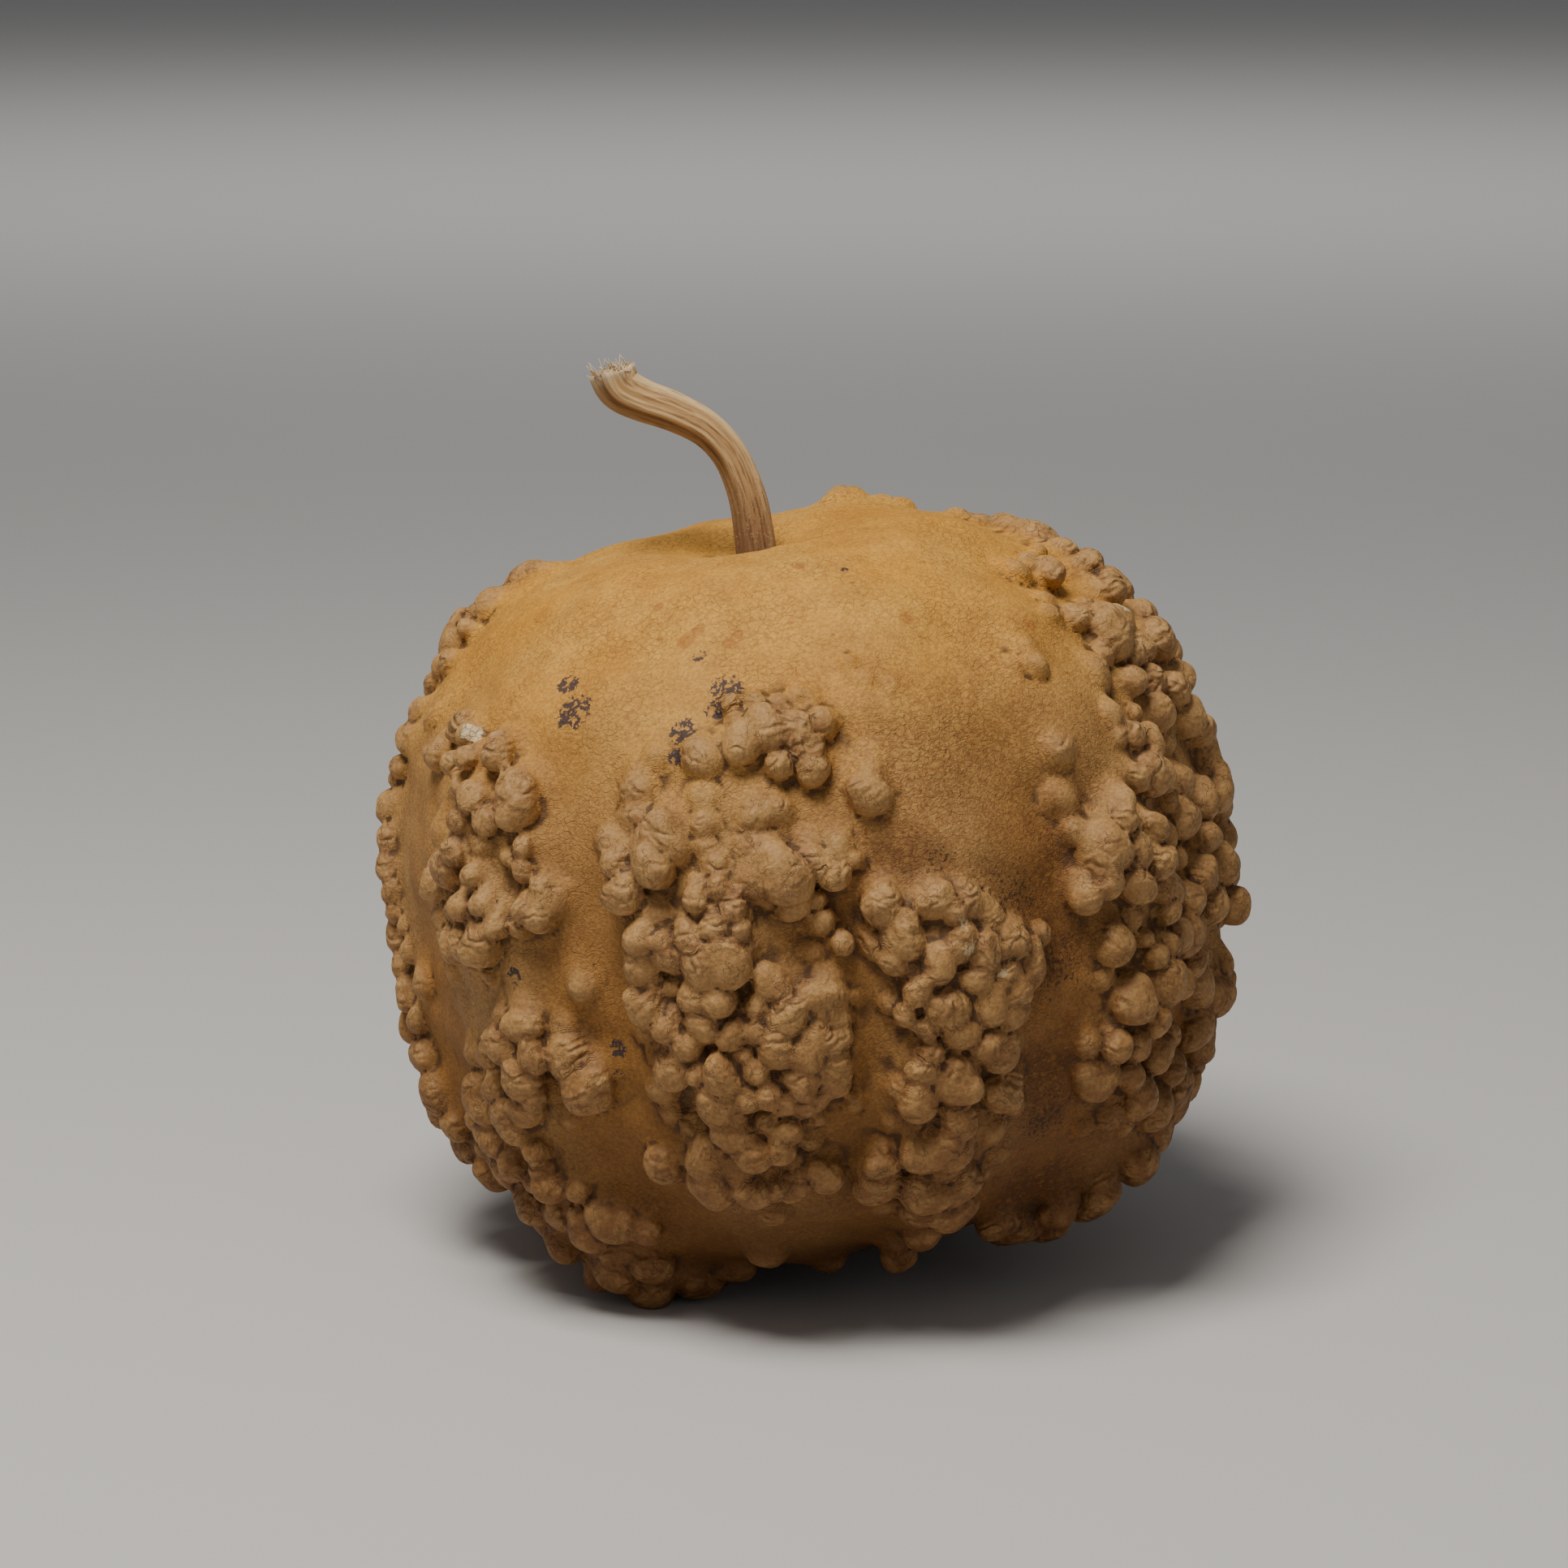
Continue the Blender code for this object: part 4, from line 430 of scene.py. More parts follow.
# The shine of every dry surface here.
SPECULAR = 0.3

# Colours, as 8-bit sRGB: chosen, then adjusted against the mean colours of twenty areas.
OCHRE = (218, 164, 74)
GOLD = (212, 148, 46)
# Painted shade: the duller ochre of the rind's sides.
SIDE_SHADE_OCHRE = (180, 138, 82)
FURROW_ORANGE = (160, 110, 48)
# Painted shade: the brown of the rind's underside.
UNDER_SHADE_BROWN = (110, 70, 24)
WART_TAN = (174, 132, 80)
WART_ROSE = (154, 112, 70)
# Painted shade: the warts' darker brown low down.
WART_UNDER_SHADE = (144, 98, 52)
TIP_CREAM = (206, 164, 104)
SHADE_BROWN = (152, 126, 84)
GRAIN_BROWN = (172, 148, 124)
# Both the painted shade in the creases and the colour of the specks in stains.
CREASE_SHADE_AND_SPECK_BROWN = (66, 42, 24)
STAIN_BROWN = (138, 92, 46)
FRECKLE = (166, 104, 44)
MILDEW_BLACK = (52, 44, 50)
SCAB_CREAM = (216, 192, 148)
STEM_TAN = (198, 158, 106)
STEM_RIDGE = (226, 192, 138)
# The stem's dark furrows, streaks and specks, and the painted shade of its underside.
STEM_DARK_AND_SHADE = (98, 66, 38)
STEM_PLUM = (104, 78, 62)
FIBRE_PALE = (208, 196, 168)
FLOOR_PALE = (200, 198, 195)

# The photograph's camera: its height angle, distance, focal length and the middle's offset in
# pixels of a picture 1932 pixels wide, and its sensor's width.
PICTURE = 1932
CAMERA_HEIGHT = 12.0
CAMERA_AWAY = 900.0
FOCAL_PIXELS = 5175
MIDDLE_RIGHT = 23
MIDDLE_DOWN = 121
SENSOR = 36.0

# The studio, in metres: name, place, what it faces, size, watts and colour of each light, the
# sky's colour and strength, and how far the floor reaches.
FRUIT_MIDDLE = (0, 0, 0.08)
LIGHTS = (("key", (-0.28, -0.42, 1.3), FRUIT_MIDDLE, 0.55, 21.0, (1.0, 0.97, 0.93)),
          ("fill", (1.2, -1.1, 0.6), FRUIT_MIDDLE, 1.2, 0.8, (0.93, 0.96, 1.0)),
          ("backdrop", (0, 3.2, 2.6), (0, 5.6, 0), 3.0, 60.0, (1.0, 1.0, 1.0)))
SKY_COLOUR = (0.80, 0.82, 0.85, 1.0)
SKY_STRENGTH = 0.2
FLOOR_REACH = 60.0


def turned(angle):
    """The difference of two angles, brought between -180 and 180 degrees."""
    return (angle + 180.0) % 360.0 - 180.0


def bell(distance):
    return np.exp(-distance * distance)


def skin_radius(azimuth, height):
    """Distance from the fruit's centre to its skin, without warts."""
    across = np.cos(np.radians(height)) / BODY_HALF_WIDTH
    along = np.abs(np.sin(np.radians(height))) / BODY_HALF_HEIGHT
    power = BODY_SQUARENESS
    radius = (across ** power + along ** power) ** (-1.0 / power)
    ribs = sum(bell(turned(azimuth - rib) / RIB_HALF_WIDTH) for rib in RIBS)
    radius = radius + RIB_RISE * (ribs - 0.5) * np.cos(np.radians(height)) ** 1.5
    radius = radius + SHOULDER_RISE * bell((height - SHOULDER_HEIGHT) / SHOULDER_REACH)
    radius = radius - STEM_DIMPLE * bell((90.0 - height) / STEM_DIMPLE_REACH)
    radius = radius - BLOSSOM_DIMPLE * bell((90.0 + height) / BLOSSOM_DIMPLE_REACH)
    for middle, level, wide, tall, rise in SWELLS:
        radius = radius + rise * bell(turned(azimuth - middle) / wide) * bell((height - level) / tall)
    return radius


def direction(azimuth, height):
    a, h = math.radians(azimuth), math.radians(height)
    return np.array((math.sin(a) * math.cos(h), -math.cos(a) * math.cos(h), math.sin(h)))


def skin_point(azimuth, height):
    return direction(azimuth, height) * skin_radius(azimuth, height)


def skin_axes(azimuth, height):
    """The directions right, down and out on the skin at a point."""
    right = skin_point(azimuth + 1.0, height) - skin_point(azimuth - 1.0, height)
    down = skin_point(azimuth, height - 1.0) - skin_point(azimuth, height + 1.0)
    right /= np.linalg.norm(right)
    down /= np.linalg.norm(down)
    out = np.cross(down, right)
    return right, down, out / np.linalg.norm(out)


def draw_warts(placed):
    """Fill the far side with warts at random, packed against each other."""
    rng = np.random.default_rng(DRAW_SEED)
    warts = list(placed)
    for middle, half_width, low, high, count in DRAWN_BUNCHES:
        for _ in range(count):
            for _ in range(DRAW_TRIES):
                azimuth = middle + half_width * rng.uniform(-1, 1)
                height = rng.uniform(low, high)
                radius = rng.uniform(*DRAWN_RADIUS)
                spot = direction(azimuth, height)
                clear = [np.linalg.norm(spot - direction(*wart[:2])) * BODY_HALF_WIDTH
                         > DRAWN_APART * (radius + wart[2]) for wart in warts]
                if all(clear):
                    rise = radius * rng.uniform(*DRAWN_RISE) + DRAWN_LIFT
                    hang, slide = rng.uniform(*DRAWN_HANG), rng.uniform(*DRAWN_SLIDE)
                    warts.append((azimuth, height, radius, rise, hang, slide))
                    break
    return warts


def to_fruit(point):
    """A point of the upright frame, from the fruit's centre, in the leaning fruit's own frame."""
    return np.array(Matrix.Rotation(math.radians(LEAN), 3, "Y") @ Vector(point))


def wart_lobes(rng, azimuth, height, radius, rise, hang, slide):
    """One wart as round cones, its foot first: start, end, radius at the start, radius at the end.

    Its root is thin and low and its tip plump and high, so that it droops over what lies below.
    """
    right, down, out = skin_axes(azimuth, height)
    middle = skin_point(azimuth, height)
    turn = rng.normal(0.0, DROOP_TURN)
    droop = (down * math.cos(turn) + right * math.sin(turn)) * radius
    rise = rise * rng.uniform(*RISE_SPREAD)
    plump = radius * PLUMPNESS
    lean = (down * hang + right * slide) * 0.5
    broad = radius * FOOT_WIDTH
    floor = middle - droop * FOOT_UP + out * (rise - CREASE_DEPTH - broad)
    root = middle - lean - droop * DROOP_UP + out * (rise * ROOT_RISE - plump * ROOT_SUNK)
    tip = middle + lean + droop * DROOP_DOWN + out * (rise - plump)
    lobes = [(floor - out * radius, floor, broad, broad), (root, tip, plump * ROOT_WIDTH, plump),
             (middle - out * radius, tip, plump * ROOT_WIDTH, plump * HEART_WIDTH)]
    if rise < radius or radius < MIN_LUMPY:
        return lobes
    count = 1 + (rng.random() < MORE_BUMPS) + (radius > MIN_LUMPIER)
    turn = rng.uniform(0, math.tau)
    for n in range(count):
        angle = turn + math.tau * n / count + rng.uniform(-BUMP_UNEVEN, BUMP_UNEVEN)
        small = plump * rng.uniform(*BUMP_RADIUS)
        side = (right * math.cos(angle) + down * math.sin(angle)) * plump * rng.uniform(*BUMP_ASIDE)
        bump = middle + lean * 0.6 + side + out * (rise - small - radius * rng.uniform(*BUMP_SUNK))
        lobes.append((middle + side * 0.6 - out * small, bump, small * 0.9, small))
    return lobes


def all_warts():
    """Every wart, as a list of its lobes."""
    rng = np.random.default_rng(LOBE_SEED)
    warts = [wart_lobes(rng, *wart) for wart in draw_warts(LISTED_WARTS)]
    for x, y in FEET:
        tip = to_fruit((x, y, FOOT_RADIUS - FOOT_FLAT - CENTRE_HEIGHT))
        lobe = (tip * 0.86, tip, FOOT_ROOT_RADIUS, FOOT_RADIUS)
        warts.append([lobe, lobe])
    return warts


def smooth_union(first, second, blend):
    overlap = np.maximum(blend - np.abs(first - second), 0.0) / blend
    return np.minimum(first, second) - overlap * overlap * blend * 0.25


def cone_field(grid, root, tip, root_radius, tip_radius):
    """Distance to a round cone."""
    span = tip - root
    offset = [g - r for g, r in zip(grid, root)]
    along = np.clip(sum(o * s for o, s in zip(offset, span)) / np.dot(span, span), 0.0, 1.0)
    away = np.sqrt(sum((o - along * s) ** 2 for o, s in zip(offset, span)))
    return (away - root_radius - along * (tip_radius - root_radius)).astype(np.float32)


def knead_waves():
    """Slow waves as rows of direction, start and push."""
    rng = np.random.default_rng(KNEAD_SEED)
    waves = []
    for length, depth in KNEAD_WAVES:
        for _ in range(WAVES_EACH):
            wave, push = rng.normal(size=(2, 3))
            waves.append((wave * math.tau / length / np.linalg.norm(wave), rng.uniform(0, math.tau),
                          push * depth / np.linalg.norm(push)))
    return waves


def kneaded(grid, waves):
    """The grid moved a little by the waves, so that no wart drawn on it stays a true ball."""
    swings = [(np.sin(sum(g * w for g, w in zip(grid, wave)) + start), push)
              for wave, start, push in waves]
    return [g + sum(swing * push[n] for swing, push in swings) for n, g in enumerate(grid)]


def warts_field(axes, warts):
    """The distance to the nearest wart, worked out only in a box round each.

    The feet melt into a common floor, and the lobes stand on it with tight creases between.
    """
    floor = np.full([len(axis) for axis in axes], REACH, dtype=np.float32)
    tops = floor.copy()
    waves = knead_waves()
    for foot, first, *others in warts:
        ends = np.array([point for lobe in (foot, first, *others) for point in lobe[:2]])
        margin = foot[3] + 2.0 * FOOT_BLEND
        low, high = ends.min(axis=0) - margin, ends.max(axis=0) + margin
        box = tuple(slice(*np.searchsorted(axis, limits)) for axis, limits in zip(axes, zip(low, high)))
        grid = kneaded(np.meshgrid(*(axis[part] for axis, part in zip(axes, box)), indexing="ij"), waves)
        wart = cone_field(grid, *first)
        for lobe in others:
            wart = smooth_union(wart, cone_field(grid, *lobe), LOBE_BLEND * lobe[3])
        floor[box] = smooth_union(floor[box], cone_field(grid, *foot), FOOT_BLEND)
        tops[box] = smooth_union(tops[box], wart, WART_BLEND)
    return floor, tops


def skin_field(axes):
    """The distance to the skin, exact only near it."""
    x, y, z = np.meshgrid(*axes, indexing="ij", sparse=True)
    reach = np.sqrt(x * x + y * y + z * z)
    field = reach - BODY_HALF_WIDTH
    near = np.abs(field) < REACH
    i, j, k = np.nonzero(near)
    px, py, pz = axes[0][i], axes[1][j], axes[2][k]
    far = reach[near]
    azimuth = np.degrees(np.arctan2(px, -py))
    height = np.degrees(np.arcsin(np.clip(pz / far, -1.0, 1.0)))
    field[near] = far - skin_radius(azimuth, height) - swells(px, py, pz) - stem_surround(px, py, pz)
    return field


def fill_pinches(field):
    """Fill the places where two sheets of the surface would meet along one edge."""
    for _ in range(PINCH_ROUNDS):
        changed = 0
        for axis in range(3):
            a, b = [n for n in range(3) if n != axis]
            low, high = slice(None, -1), slice(1, None)
            corner = {}
            for i, j in itertools.product((0, 1), repeat=2):
                cut = [slice(None)] * 3
                cut[a], cut[b] = (low, high)[i], (low, high)[j]
                corner[i, j] = field[tuple(cut)]
            for first, second in (((0, 0), (1, 1)), ((0, 1), (1, 0))):
                pinched = (corner[first] < 0) & (corner[second] < 0)
                for other in set(corner) - {first, second}:
                    pinched &= corner[other] >= 0
                changed += int(pinched.sum())
                for other in set(corner) - {first, second}:
                    corner[other][pinched] = PINCH_FILL
        if not changed:
            return


def surface_net(field, axes):
    """Vertices and quads of the zero surface: one vertex a cell, one quad a crossed edge."""
    shape = [n - 1 for n in field.shape]
    corners = list(itertools.product((0, 1), repeat=3))
    values = [field[tuple(slice(c, c + n) for c, n in zip(corner, shape))] for corner in corners]
    count = sum((value < 0).astype(np.int8) for value in values)
    cells = np.nonzero((count > 0) & (count < 8))
    at_cell = [value[cells] for value in values]
    total = np.zeros((len(cells[0]), 3))
    crossings = np.zeros(len(cells[0]))
    for first, second in itertools.combinations(range(8), 2):
        step = np.subtract(corners[second], corners[first])
        if np.abs(step).sum() != 1:
            continue
        a, b = at_cell[first], at_cell[second]
        crossed = (a < 0) != (b < 0)
        part = np.where(crossed, a / np.where(crossed, a - b, 1.0), 0.0)
        total += crossed[:, None] * (np.array(corners[first]) + part[:, None] * step)
        crossings += crossed
    size = axes[0][1] - axes[0][0]
    start = np.array([axis[0] for axis in axes])
    points = start + size * (np.stack(cells, axis=1) + total / crossings[:, None])
    number = np.full(shape, -1, dtype=np.int64)
    number[cells] = np.arange(len(points))
    quads = []
    for axis in range(3):
        a, b = (axis + 1) % 3, (axis + 2) % 3
        here = [slice(1, -1)] * 3
        there = [slice(1, -1)] * 3
        here[axis], there[axis] = slice(0, -1), slice(1, None)
        inside, beyond = field[tuple(here)] < 0, field[tuple(there)] < 0
        edges = np.stack(np.nonzero(inside != beyond), axis=1)
        outward = inside[tuple(edges.T)]
        edges += 1
        edges[:, axis] -= 1
        ring = []
        for i, j in ((1, 1), (0, 1), (0, 0), (1, 0)):
            cell = edges.copy()
            cell[:, a] -= i
            cell[:, b] -= j
            ring.append(number[tuple(cell.T)])
        quad = np.stack(ring, axis=1)
        quad[~outward] = quad[~outward, ::-1]
        quads.append(quad)
    return points, np.concatenate(quads)


def outer_sheet(points, quads):
    """The largest connected sheet alone, without the walls of pockets shut in under warts."""
    label = np.arange(len(points))
    while True:
        lowest = label.copy()
        np.minimum.at(lowest, quads.ravel(), np.repeat(label[quads].min(axis=1), 4))
        lowest = lowest[lowest]
        if np.array_equal(lowest, label):
            break
        label = lowest
    kept = label == np.bincount(label).argmax()
    number = np.cumsum(kept) - 1
    return points[kept], number[quads[kept[quads[:, 0]]]]


def swells(x, y, z):
    """The skin's slow, shallow unevenness."""
    rng = np.random.default_rng(SWELL_SEED)
    rise = 0.0
    for length, height in SWELL_WAVES:
        for _ in range(WAVES_EACH):
            wave = rng.normal(size=3)
            wave *= math.tau / length / np.linalg.norm(wave)
            start = rng.uniform(0, math.tau)
            rise = rise + height * np.sin(x * wave[0] + y * wave[1] + z * wave[2] + start)
    return rise


def stem_surround(x, y, z):
    """The low collar and the narrow moat in the rind round the stem."""
    away = np.hypot(x - STEM_SHIFT, y)
    collar = COLLAR_RISE * bell((away - COLLAR_RADIUS) / COLLAR_REACH)
    moat = MOAT_DEPTH * bell((away - MOAT_RADIUS) / MOAT_REACH)
    return np.where(z > 0, collar - moat, 0.0)


def rind_mesh():
    """The rind in the fruit's own frame, in metres."""
    voxel, triangles = ((FINE_VOXEL, FINE_TRIANGLES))
    half = BODY_HALF_WIDTH + REACH
    axes = [np.arange(-half, half, voxel, dtype=np.float32)] * 3
    floor, tops = warts_field(axes, all_warts())
    field = smooth_union(smooth_union(skin_field(axes), floor, SKIN_BLEND), tops, WART_BLEND)
    fill_pinches(field)
    points, quads = outer_sheet(*surface_net(field, axes))
    mesh = bpy.data.meshes.new("rind")
    mesh.from_pydata(points * MM, [], quads)
    mesh = thinned(mesh, triangles)
    split_long_edges(mesh)
    return mesh


def triangulate(work):
    bmesh.ops.triangulate(work, faces=[face for face in work.faces if len(face.verts) > 3])


def split_long_edges(mesh):
    """Halve the long edges twice, so that painted shade in a crease doesn't spread over the skin's big
    faces.
    """
    work = bmesh.new()
    work.from_mesh(mesh)
    for _ in range(2):
        long = [edge for edge in work.edges if edge.calc_length() > LONG_EDGE * MM]
        bmesh.ops.subdivide_edges(work, edges=long, cuts=1)
        triangulate(work)
    work.to_mesh(mesh)
    work.free()


def smoothed(points, edges, times):
    """The points drawn halfway to the middle of their neighbours, a number of times."""
    count = np.bincount(edges.ravel(), minlength=len(points))[:, None]
    ends = np.concatenate((edges, edges[:, ::-1]))
    for _ in range(times):
        total = np.stack([np.bincount(ends[:, 0], points[ends[:, 1], axis], len(points))
                          for axis in range(3)], axis=1)
        points = 0.5 * (points + total / count)
    return points


def read_numbers(items, name, width, kind=np.float32):
    found = np.empty(len(items) * width, kind)
    items.foreach_get(name, found)
    return found.reshape(-1, width)


def add_numbers(mesh, name, values):
    mesh.attributes.new(name, "FLOAT", "POINT").data.foreach_set("value", values.astype(np.float32))


def fold_marks(points):
    """How far each point lies across the folds of the wart that it is on, and how deep they are."""
    rng = np.random.default_rng(FOLD_SEED)
    nearest = np.full(len(points), FOLD_REACH)
    across, folding = np.zeros((2, len(points)))
    for azimuth, height, radius, rise, *_ in draw_warts(LISTED_WARTS):
        right, down, out = skin_axes(azimuth, height)
        turn = rng.normal(0.0, FOLD_TURN)
        depth = rng.random()
        depth = 1.0 if depth < DEEP_SHARE else FAINT_FOLDS if depth < DEEP_SHARE + FAINT_SHARE else 0.0
        if rise < radius or radius < MIN_FOLDED:
            depth = 0.0
        offset = points - (skin_point(azimuth, height) + out * (rise - radius))
        away = np.linalg.norm(offset, axis=1) - radius
        mine = away < nearest
        nearest[mine] = away[mine]
        start = rng.uniform(0, FOLD_SPACING)
        across[mine] = offset[mine] @ (down * math.cos(turn) + right * math.sin(turn)) + start
        folding[mine] = depth * np.clip((FOLD_REACH - away[mine]) / FOLD_REACH, 0.0, 1.0)
    return across, folding


def note_surface(mesh):
    """Keep on each vertex what the rind's finish depends on: where it lies and how it curves."""
    points = read_numbers(mesh.vertices, "co", 3) / MM
    normals = read_numbers(mesh.vertex_normals, "vector", 3)
    edges = read_numbers(mesh.edges, "vertices", 2, np.int32)
    far = np.linalg.norm(points, axis=1)
    azimuth = np.degrees(np.arctan2(points[:, 0], -points[:, 1]))
    height = np.degrees(np.arcsin(np.clip(points[:, 2] / far, -1.0, 1.0)))
    ribs = sum(bell(turned(azimuth - rib) / RIB_HALF_WIDTH) for rib in RIBS)
    add_numbers(mesh, "rise", far - skin_radius(azimuth, height))
    add_numbers(mesh, "furrow", np.clip(1.0 - ribs, 0.0, 1.0))
    add_numbers(mesh, "level", height / 90.0)
    for name, values in zip(("across", "folding"), fold_marks(points)):
        add_numbers(mesh, name, values)
    for name, times in SMOOTHINGS:
        drawn_in = smoothed(points, edges, times) - points
        add_numbers(mesh, name, (drawn_in * normals).sum(axis=1))


def new_object(name, data):
    made = bpy.data.objects.new(name, data)
    bpy.context.collection.objects.link(made)
    return made


def thinned(mesh, triangles):
    """The mesh with its triangles merged where the surface is smooth."""
    holder = new_object("holder", mesh)
    thin = holder.modifiers.new("thin", "DECIMATE")
    thin.ratio = triangles / (2 * len(mesh.polygons))
    thin.use_collapse_triangulate = True
    graph = bpy.context.evaluated_depsgraph_get()
    result = bpy.data.meshes.new_from_object(holder.evaluated_get(graph))
    bpy.data.objects.remove(holder)
    return result


def fruit_frame():
    """From the leaning fruit's own frame to the ground frame."""
    centre = Vector((*CENTRE_SHIFT, CENTRE_HEIGHT)) * MM
    return Matrix.Translation(centre) @ Matrix.Rotation(math.radians(-LEAN), 4, "Y")


def cut_at_ground(mesh):
    """Cut the low warts flat where they stand."""
    ground = fruit_frame().inverted()
    up = (ground.to_3x3() @ Vector((0, 0, 1))).normalized()
    work = bmesh.new()
    work.from_mesh(mesh)
    everything = work.verts[:] + work.edges[:] + work.faces[:]
    cut = bmesh.ops.bisect_plane(work, geom=everything, plane_co=ground.translation, plane_no=up,
                                 clear_inner=True, dist=1e-7)
    rim = [item for item in cut["geom_cut"] if isinstance(item, bmesh.types.BMEdge)]
    bmesh.ops.holes_fill(work, edges=rim, sides=0)
    triangulate(work)
    work.to_mesh(mesh)
    work.free()


def keep_inside(mesh, node):
    """Hold the mesh in the box of the solid that it replaces."""
    low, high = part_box(node)
    points = read_numbers(mesh.vertices, "co", 3)
    mesh.vertices.foreach_set("co", np.clip(points, low, high).astype(np.float32).ravel())


def make_rind():
    mesh = rind_mesh()
    note_surface(mesh)
    cut_at_ground(mesh)
    mesh.transform(fruit_frame())
    keep_inside(mesh, "fruit")
    add_piece("fruit_rind", mesh, "fruit", rind_finish())


class Wire:
    """What comes out of a node. It can stand in sums, where each operation adds a Math node."""

    def __init__(self, finish, socket):
        self.finish = finish
        self.socket = socket

    def maths(self, operation, first, second=0.0):
        return self.finish.node("ShaderNodeMath", {"operation": operation}, {0: first, 1: second})

    def __add__(self, other):
        return self.maths("ADD", self, other)

    def __sub__(self, other):
        return self.maths("SUBTRACT", self, other)

    def __rsub__(self, other):
        return self.maths("SUBTRACT", other, self)

    def __mul__(self, other):
        return self.maths("MULTIPLY", self, other)

    def __abs__(self):
        return self.maths("ABSOLUTE", self)

    __radd__ = __add__
    __rmul__ = __mul__

    def folded(self, half):
        """The distance to the nearest of the grooves that lie twice this far apart."""
        return self.maths("PINGPONG", self, half)

    def most(self, other):
        return self.maths("MAXIMUM", self, other)

    def ramp(self, low, high):
        """0 at low and 1 at high, smooth between them."""
        return self.finish.node("ShaderNodeMapRange", {"interpolation_type": "SMOOTHSTEP"},
                                {"Value": self, "From Min": low, "From Max": high})


class Finish:
    """A material, and the nodes that make it."""

    def __init__(self, name):
        self.material = bpy.data.materials.new(name)
        self.material.use_nodes = True
        self.tree = self.material.node_tree
        self.shader = self.tree.nodes["Principled BSDF"]
        self.shader.inputs["Specular IOR Level"].default_value = SPECULAR

    def feed(self, socket, value):
        if isinstance(value, Wire):
            self.tree.links.new(value.socket, socket)
        else:
            socket.default_value = value

    def node(self, kind, settings, values, output=0):
        made = self.tree.nodes.new(kind)
        for name, value in settings.items():
            setattr(made, name, value)
        for name, value in values.items():
            self.feed(made.inputs[name], value)
        return Wire(self, made.outputs[output])

    def world(self):
        """The place in the ground frame, in metres."""
        return self.node("ShaderNodeTexCoord", {}, {}, "Object")

    def kept(self, name):
        """A number kept on the vertices."""
        return self.node("ShaderNodeAttribute", {"attribute_name": name}, {}, "Fac")

    def noise(self, place, size, detail=3.0, roughness=0.5):
        return self.node("ShaderNodeTexNoise", {},
                         {"Vector": place, "Scale": 1.0 / size, "Detail": detail, "Roughness": roughness})

    def cells(self, place, size):
        """Distance to the nearest edge of a cell pattern, as a share of the cells' size."""
        return self.node("ShaderNodeTexVoronoi", {"feature": "DISTANCE_TO_EDGE"},
                         {"Vector": place, "Scale": 1.0 / size})

    def moved(self, operation, first, second):
        return self.node("ShaderNodeVectorMath", {"operation": operation}, {0: first, 1: second})

    def warped(self, place, size, push):
        """The place pushed about by noise, so that what is drawn on it wanders."""
        cloud = self.node("ShaderNodeTexNoise", {}, {"Vector": place, "Scale": 1.0 / size}, "Color")
        shove = self.moved("SUBTRACT", cloud, (0.5, 0.5, 0.5))
        return self.moved("ADD", place, self.moved("MULTIPLY", shove, (push, push, push)))

    def away(self, place, point):
        return self.node("ShaderNodeVectorMath", {"operation": "DISTANCE"},
                         {0: place, 1: tuple(point)}, "Value")

    def mix(self, share, first, second, blend="MIX"):
        return self.node("ShaderNodeMix", {"data_type": "RGBA", "blend_type": blend},
                         {0: share, 6: first, 7: second}, 2)

    def tinted(self, share, colour, paint, blend="MIX"):
        return self.mix(share, colour, linear(paint), blend)

    def finish(self, colour, roughness, relief):
        """Set the shader, with relief in mm."""
        self.feed(self.shader.inputs["Base Color"], colour)
        self.feed(self.shader.inputs["Roughness"], roughness)
        bump = self.node("ShaderNodeBump", {}, {"Distance": MM, "Height": relief}, "Normal")
        self.feed(self.shader.inputs["Normal"], bump)
        return self.material


def linear(paint):
    """An 8-bit sRGB colour as linear light, with full alpha."""
    shares = [value / 255.0 for value in paint]
    return (*(s / 12.92 if s <= 0.04045 else ((s + 0.055) / 1.055) ** 2.4 for s in shares), 1.0)


def fruit_place(look):
    """The place in the fruit's own frame, in mm."""
    lean = math.radians(LEAN)
    shift = Matrix.Rotation(lean, 3, "Y") @ Vector((*CENTRE_SHIFT, CENTRE_HEIGHT))
    return look.node("ShaderNodeMapping", {"vector_type": "POINT"},
                     {"Vector": look.world(), "Location": tuple(-shift), "Rotation": (0.0, lean, 0.0),
                      "Scale": (1 / MM, 1 / MM, 1 / MM)})


def strongest(masks):
    """The highest of the masks at each place."""
    return functools.reduce(Wire.most, masks)


def spots(look, place, marks):
    """1 at the middle of the nearest mark, falling to 0 at its reach."""
    return strongest([look.away(place, skin_point(azimuth, height)).ramp(reach, 0.0)
                      for azimuth, height, reach in marks])


def skin_colour(look, place, level, furrow, wart):
    """The bare rind: gold at the top, orange furrows, and painted shade: duller ochre sides, a brown
    underside.
    """
    cloud = look.noise(place, CLOUD_SIZE, 3.0)
    patch = look.noise(place, 9.0, 4.0, 0.6)
    colour = look.tinted(cloud.ramp(0.3, 0.7) * 0.8, linear(OCHRE), GOLD)
    # Painted shade: the sides darkened to a duller ochre.
    colour = look.tinted((0.62 - level).ramp(0.0, 0.5), colour, SIDE_SHADE_OCHRE)
    orange = furrow.ramp(0.25, 0.85) * (0.45 - level).ramp(0.0, 0.5)
    colour = look.tinted(orange * (1.0 - wart) * 0.85, colour, FURROW_ORANGE)
    # Painted shade: the underside darkened to brown.
    colour = look.tinted((-0.05 - level).ramp(0.0, 0.6) * 0.8, colour, UNDER_SHADE_BROWN)
    return look.tinted(patch.ramp(0.3, 0.75) * 0.3, colour, STAIN_BROWN, "MULTIPLY")


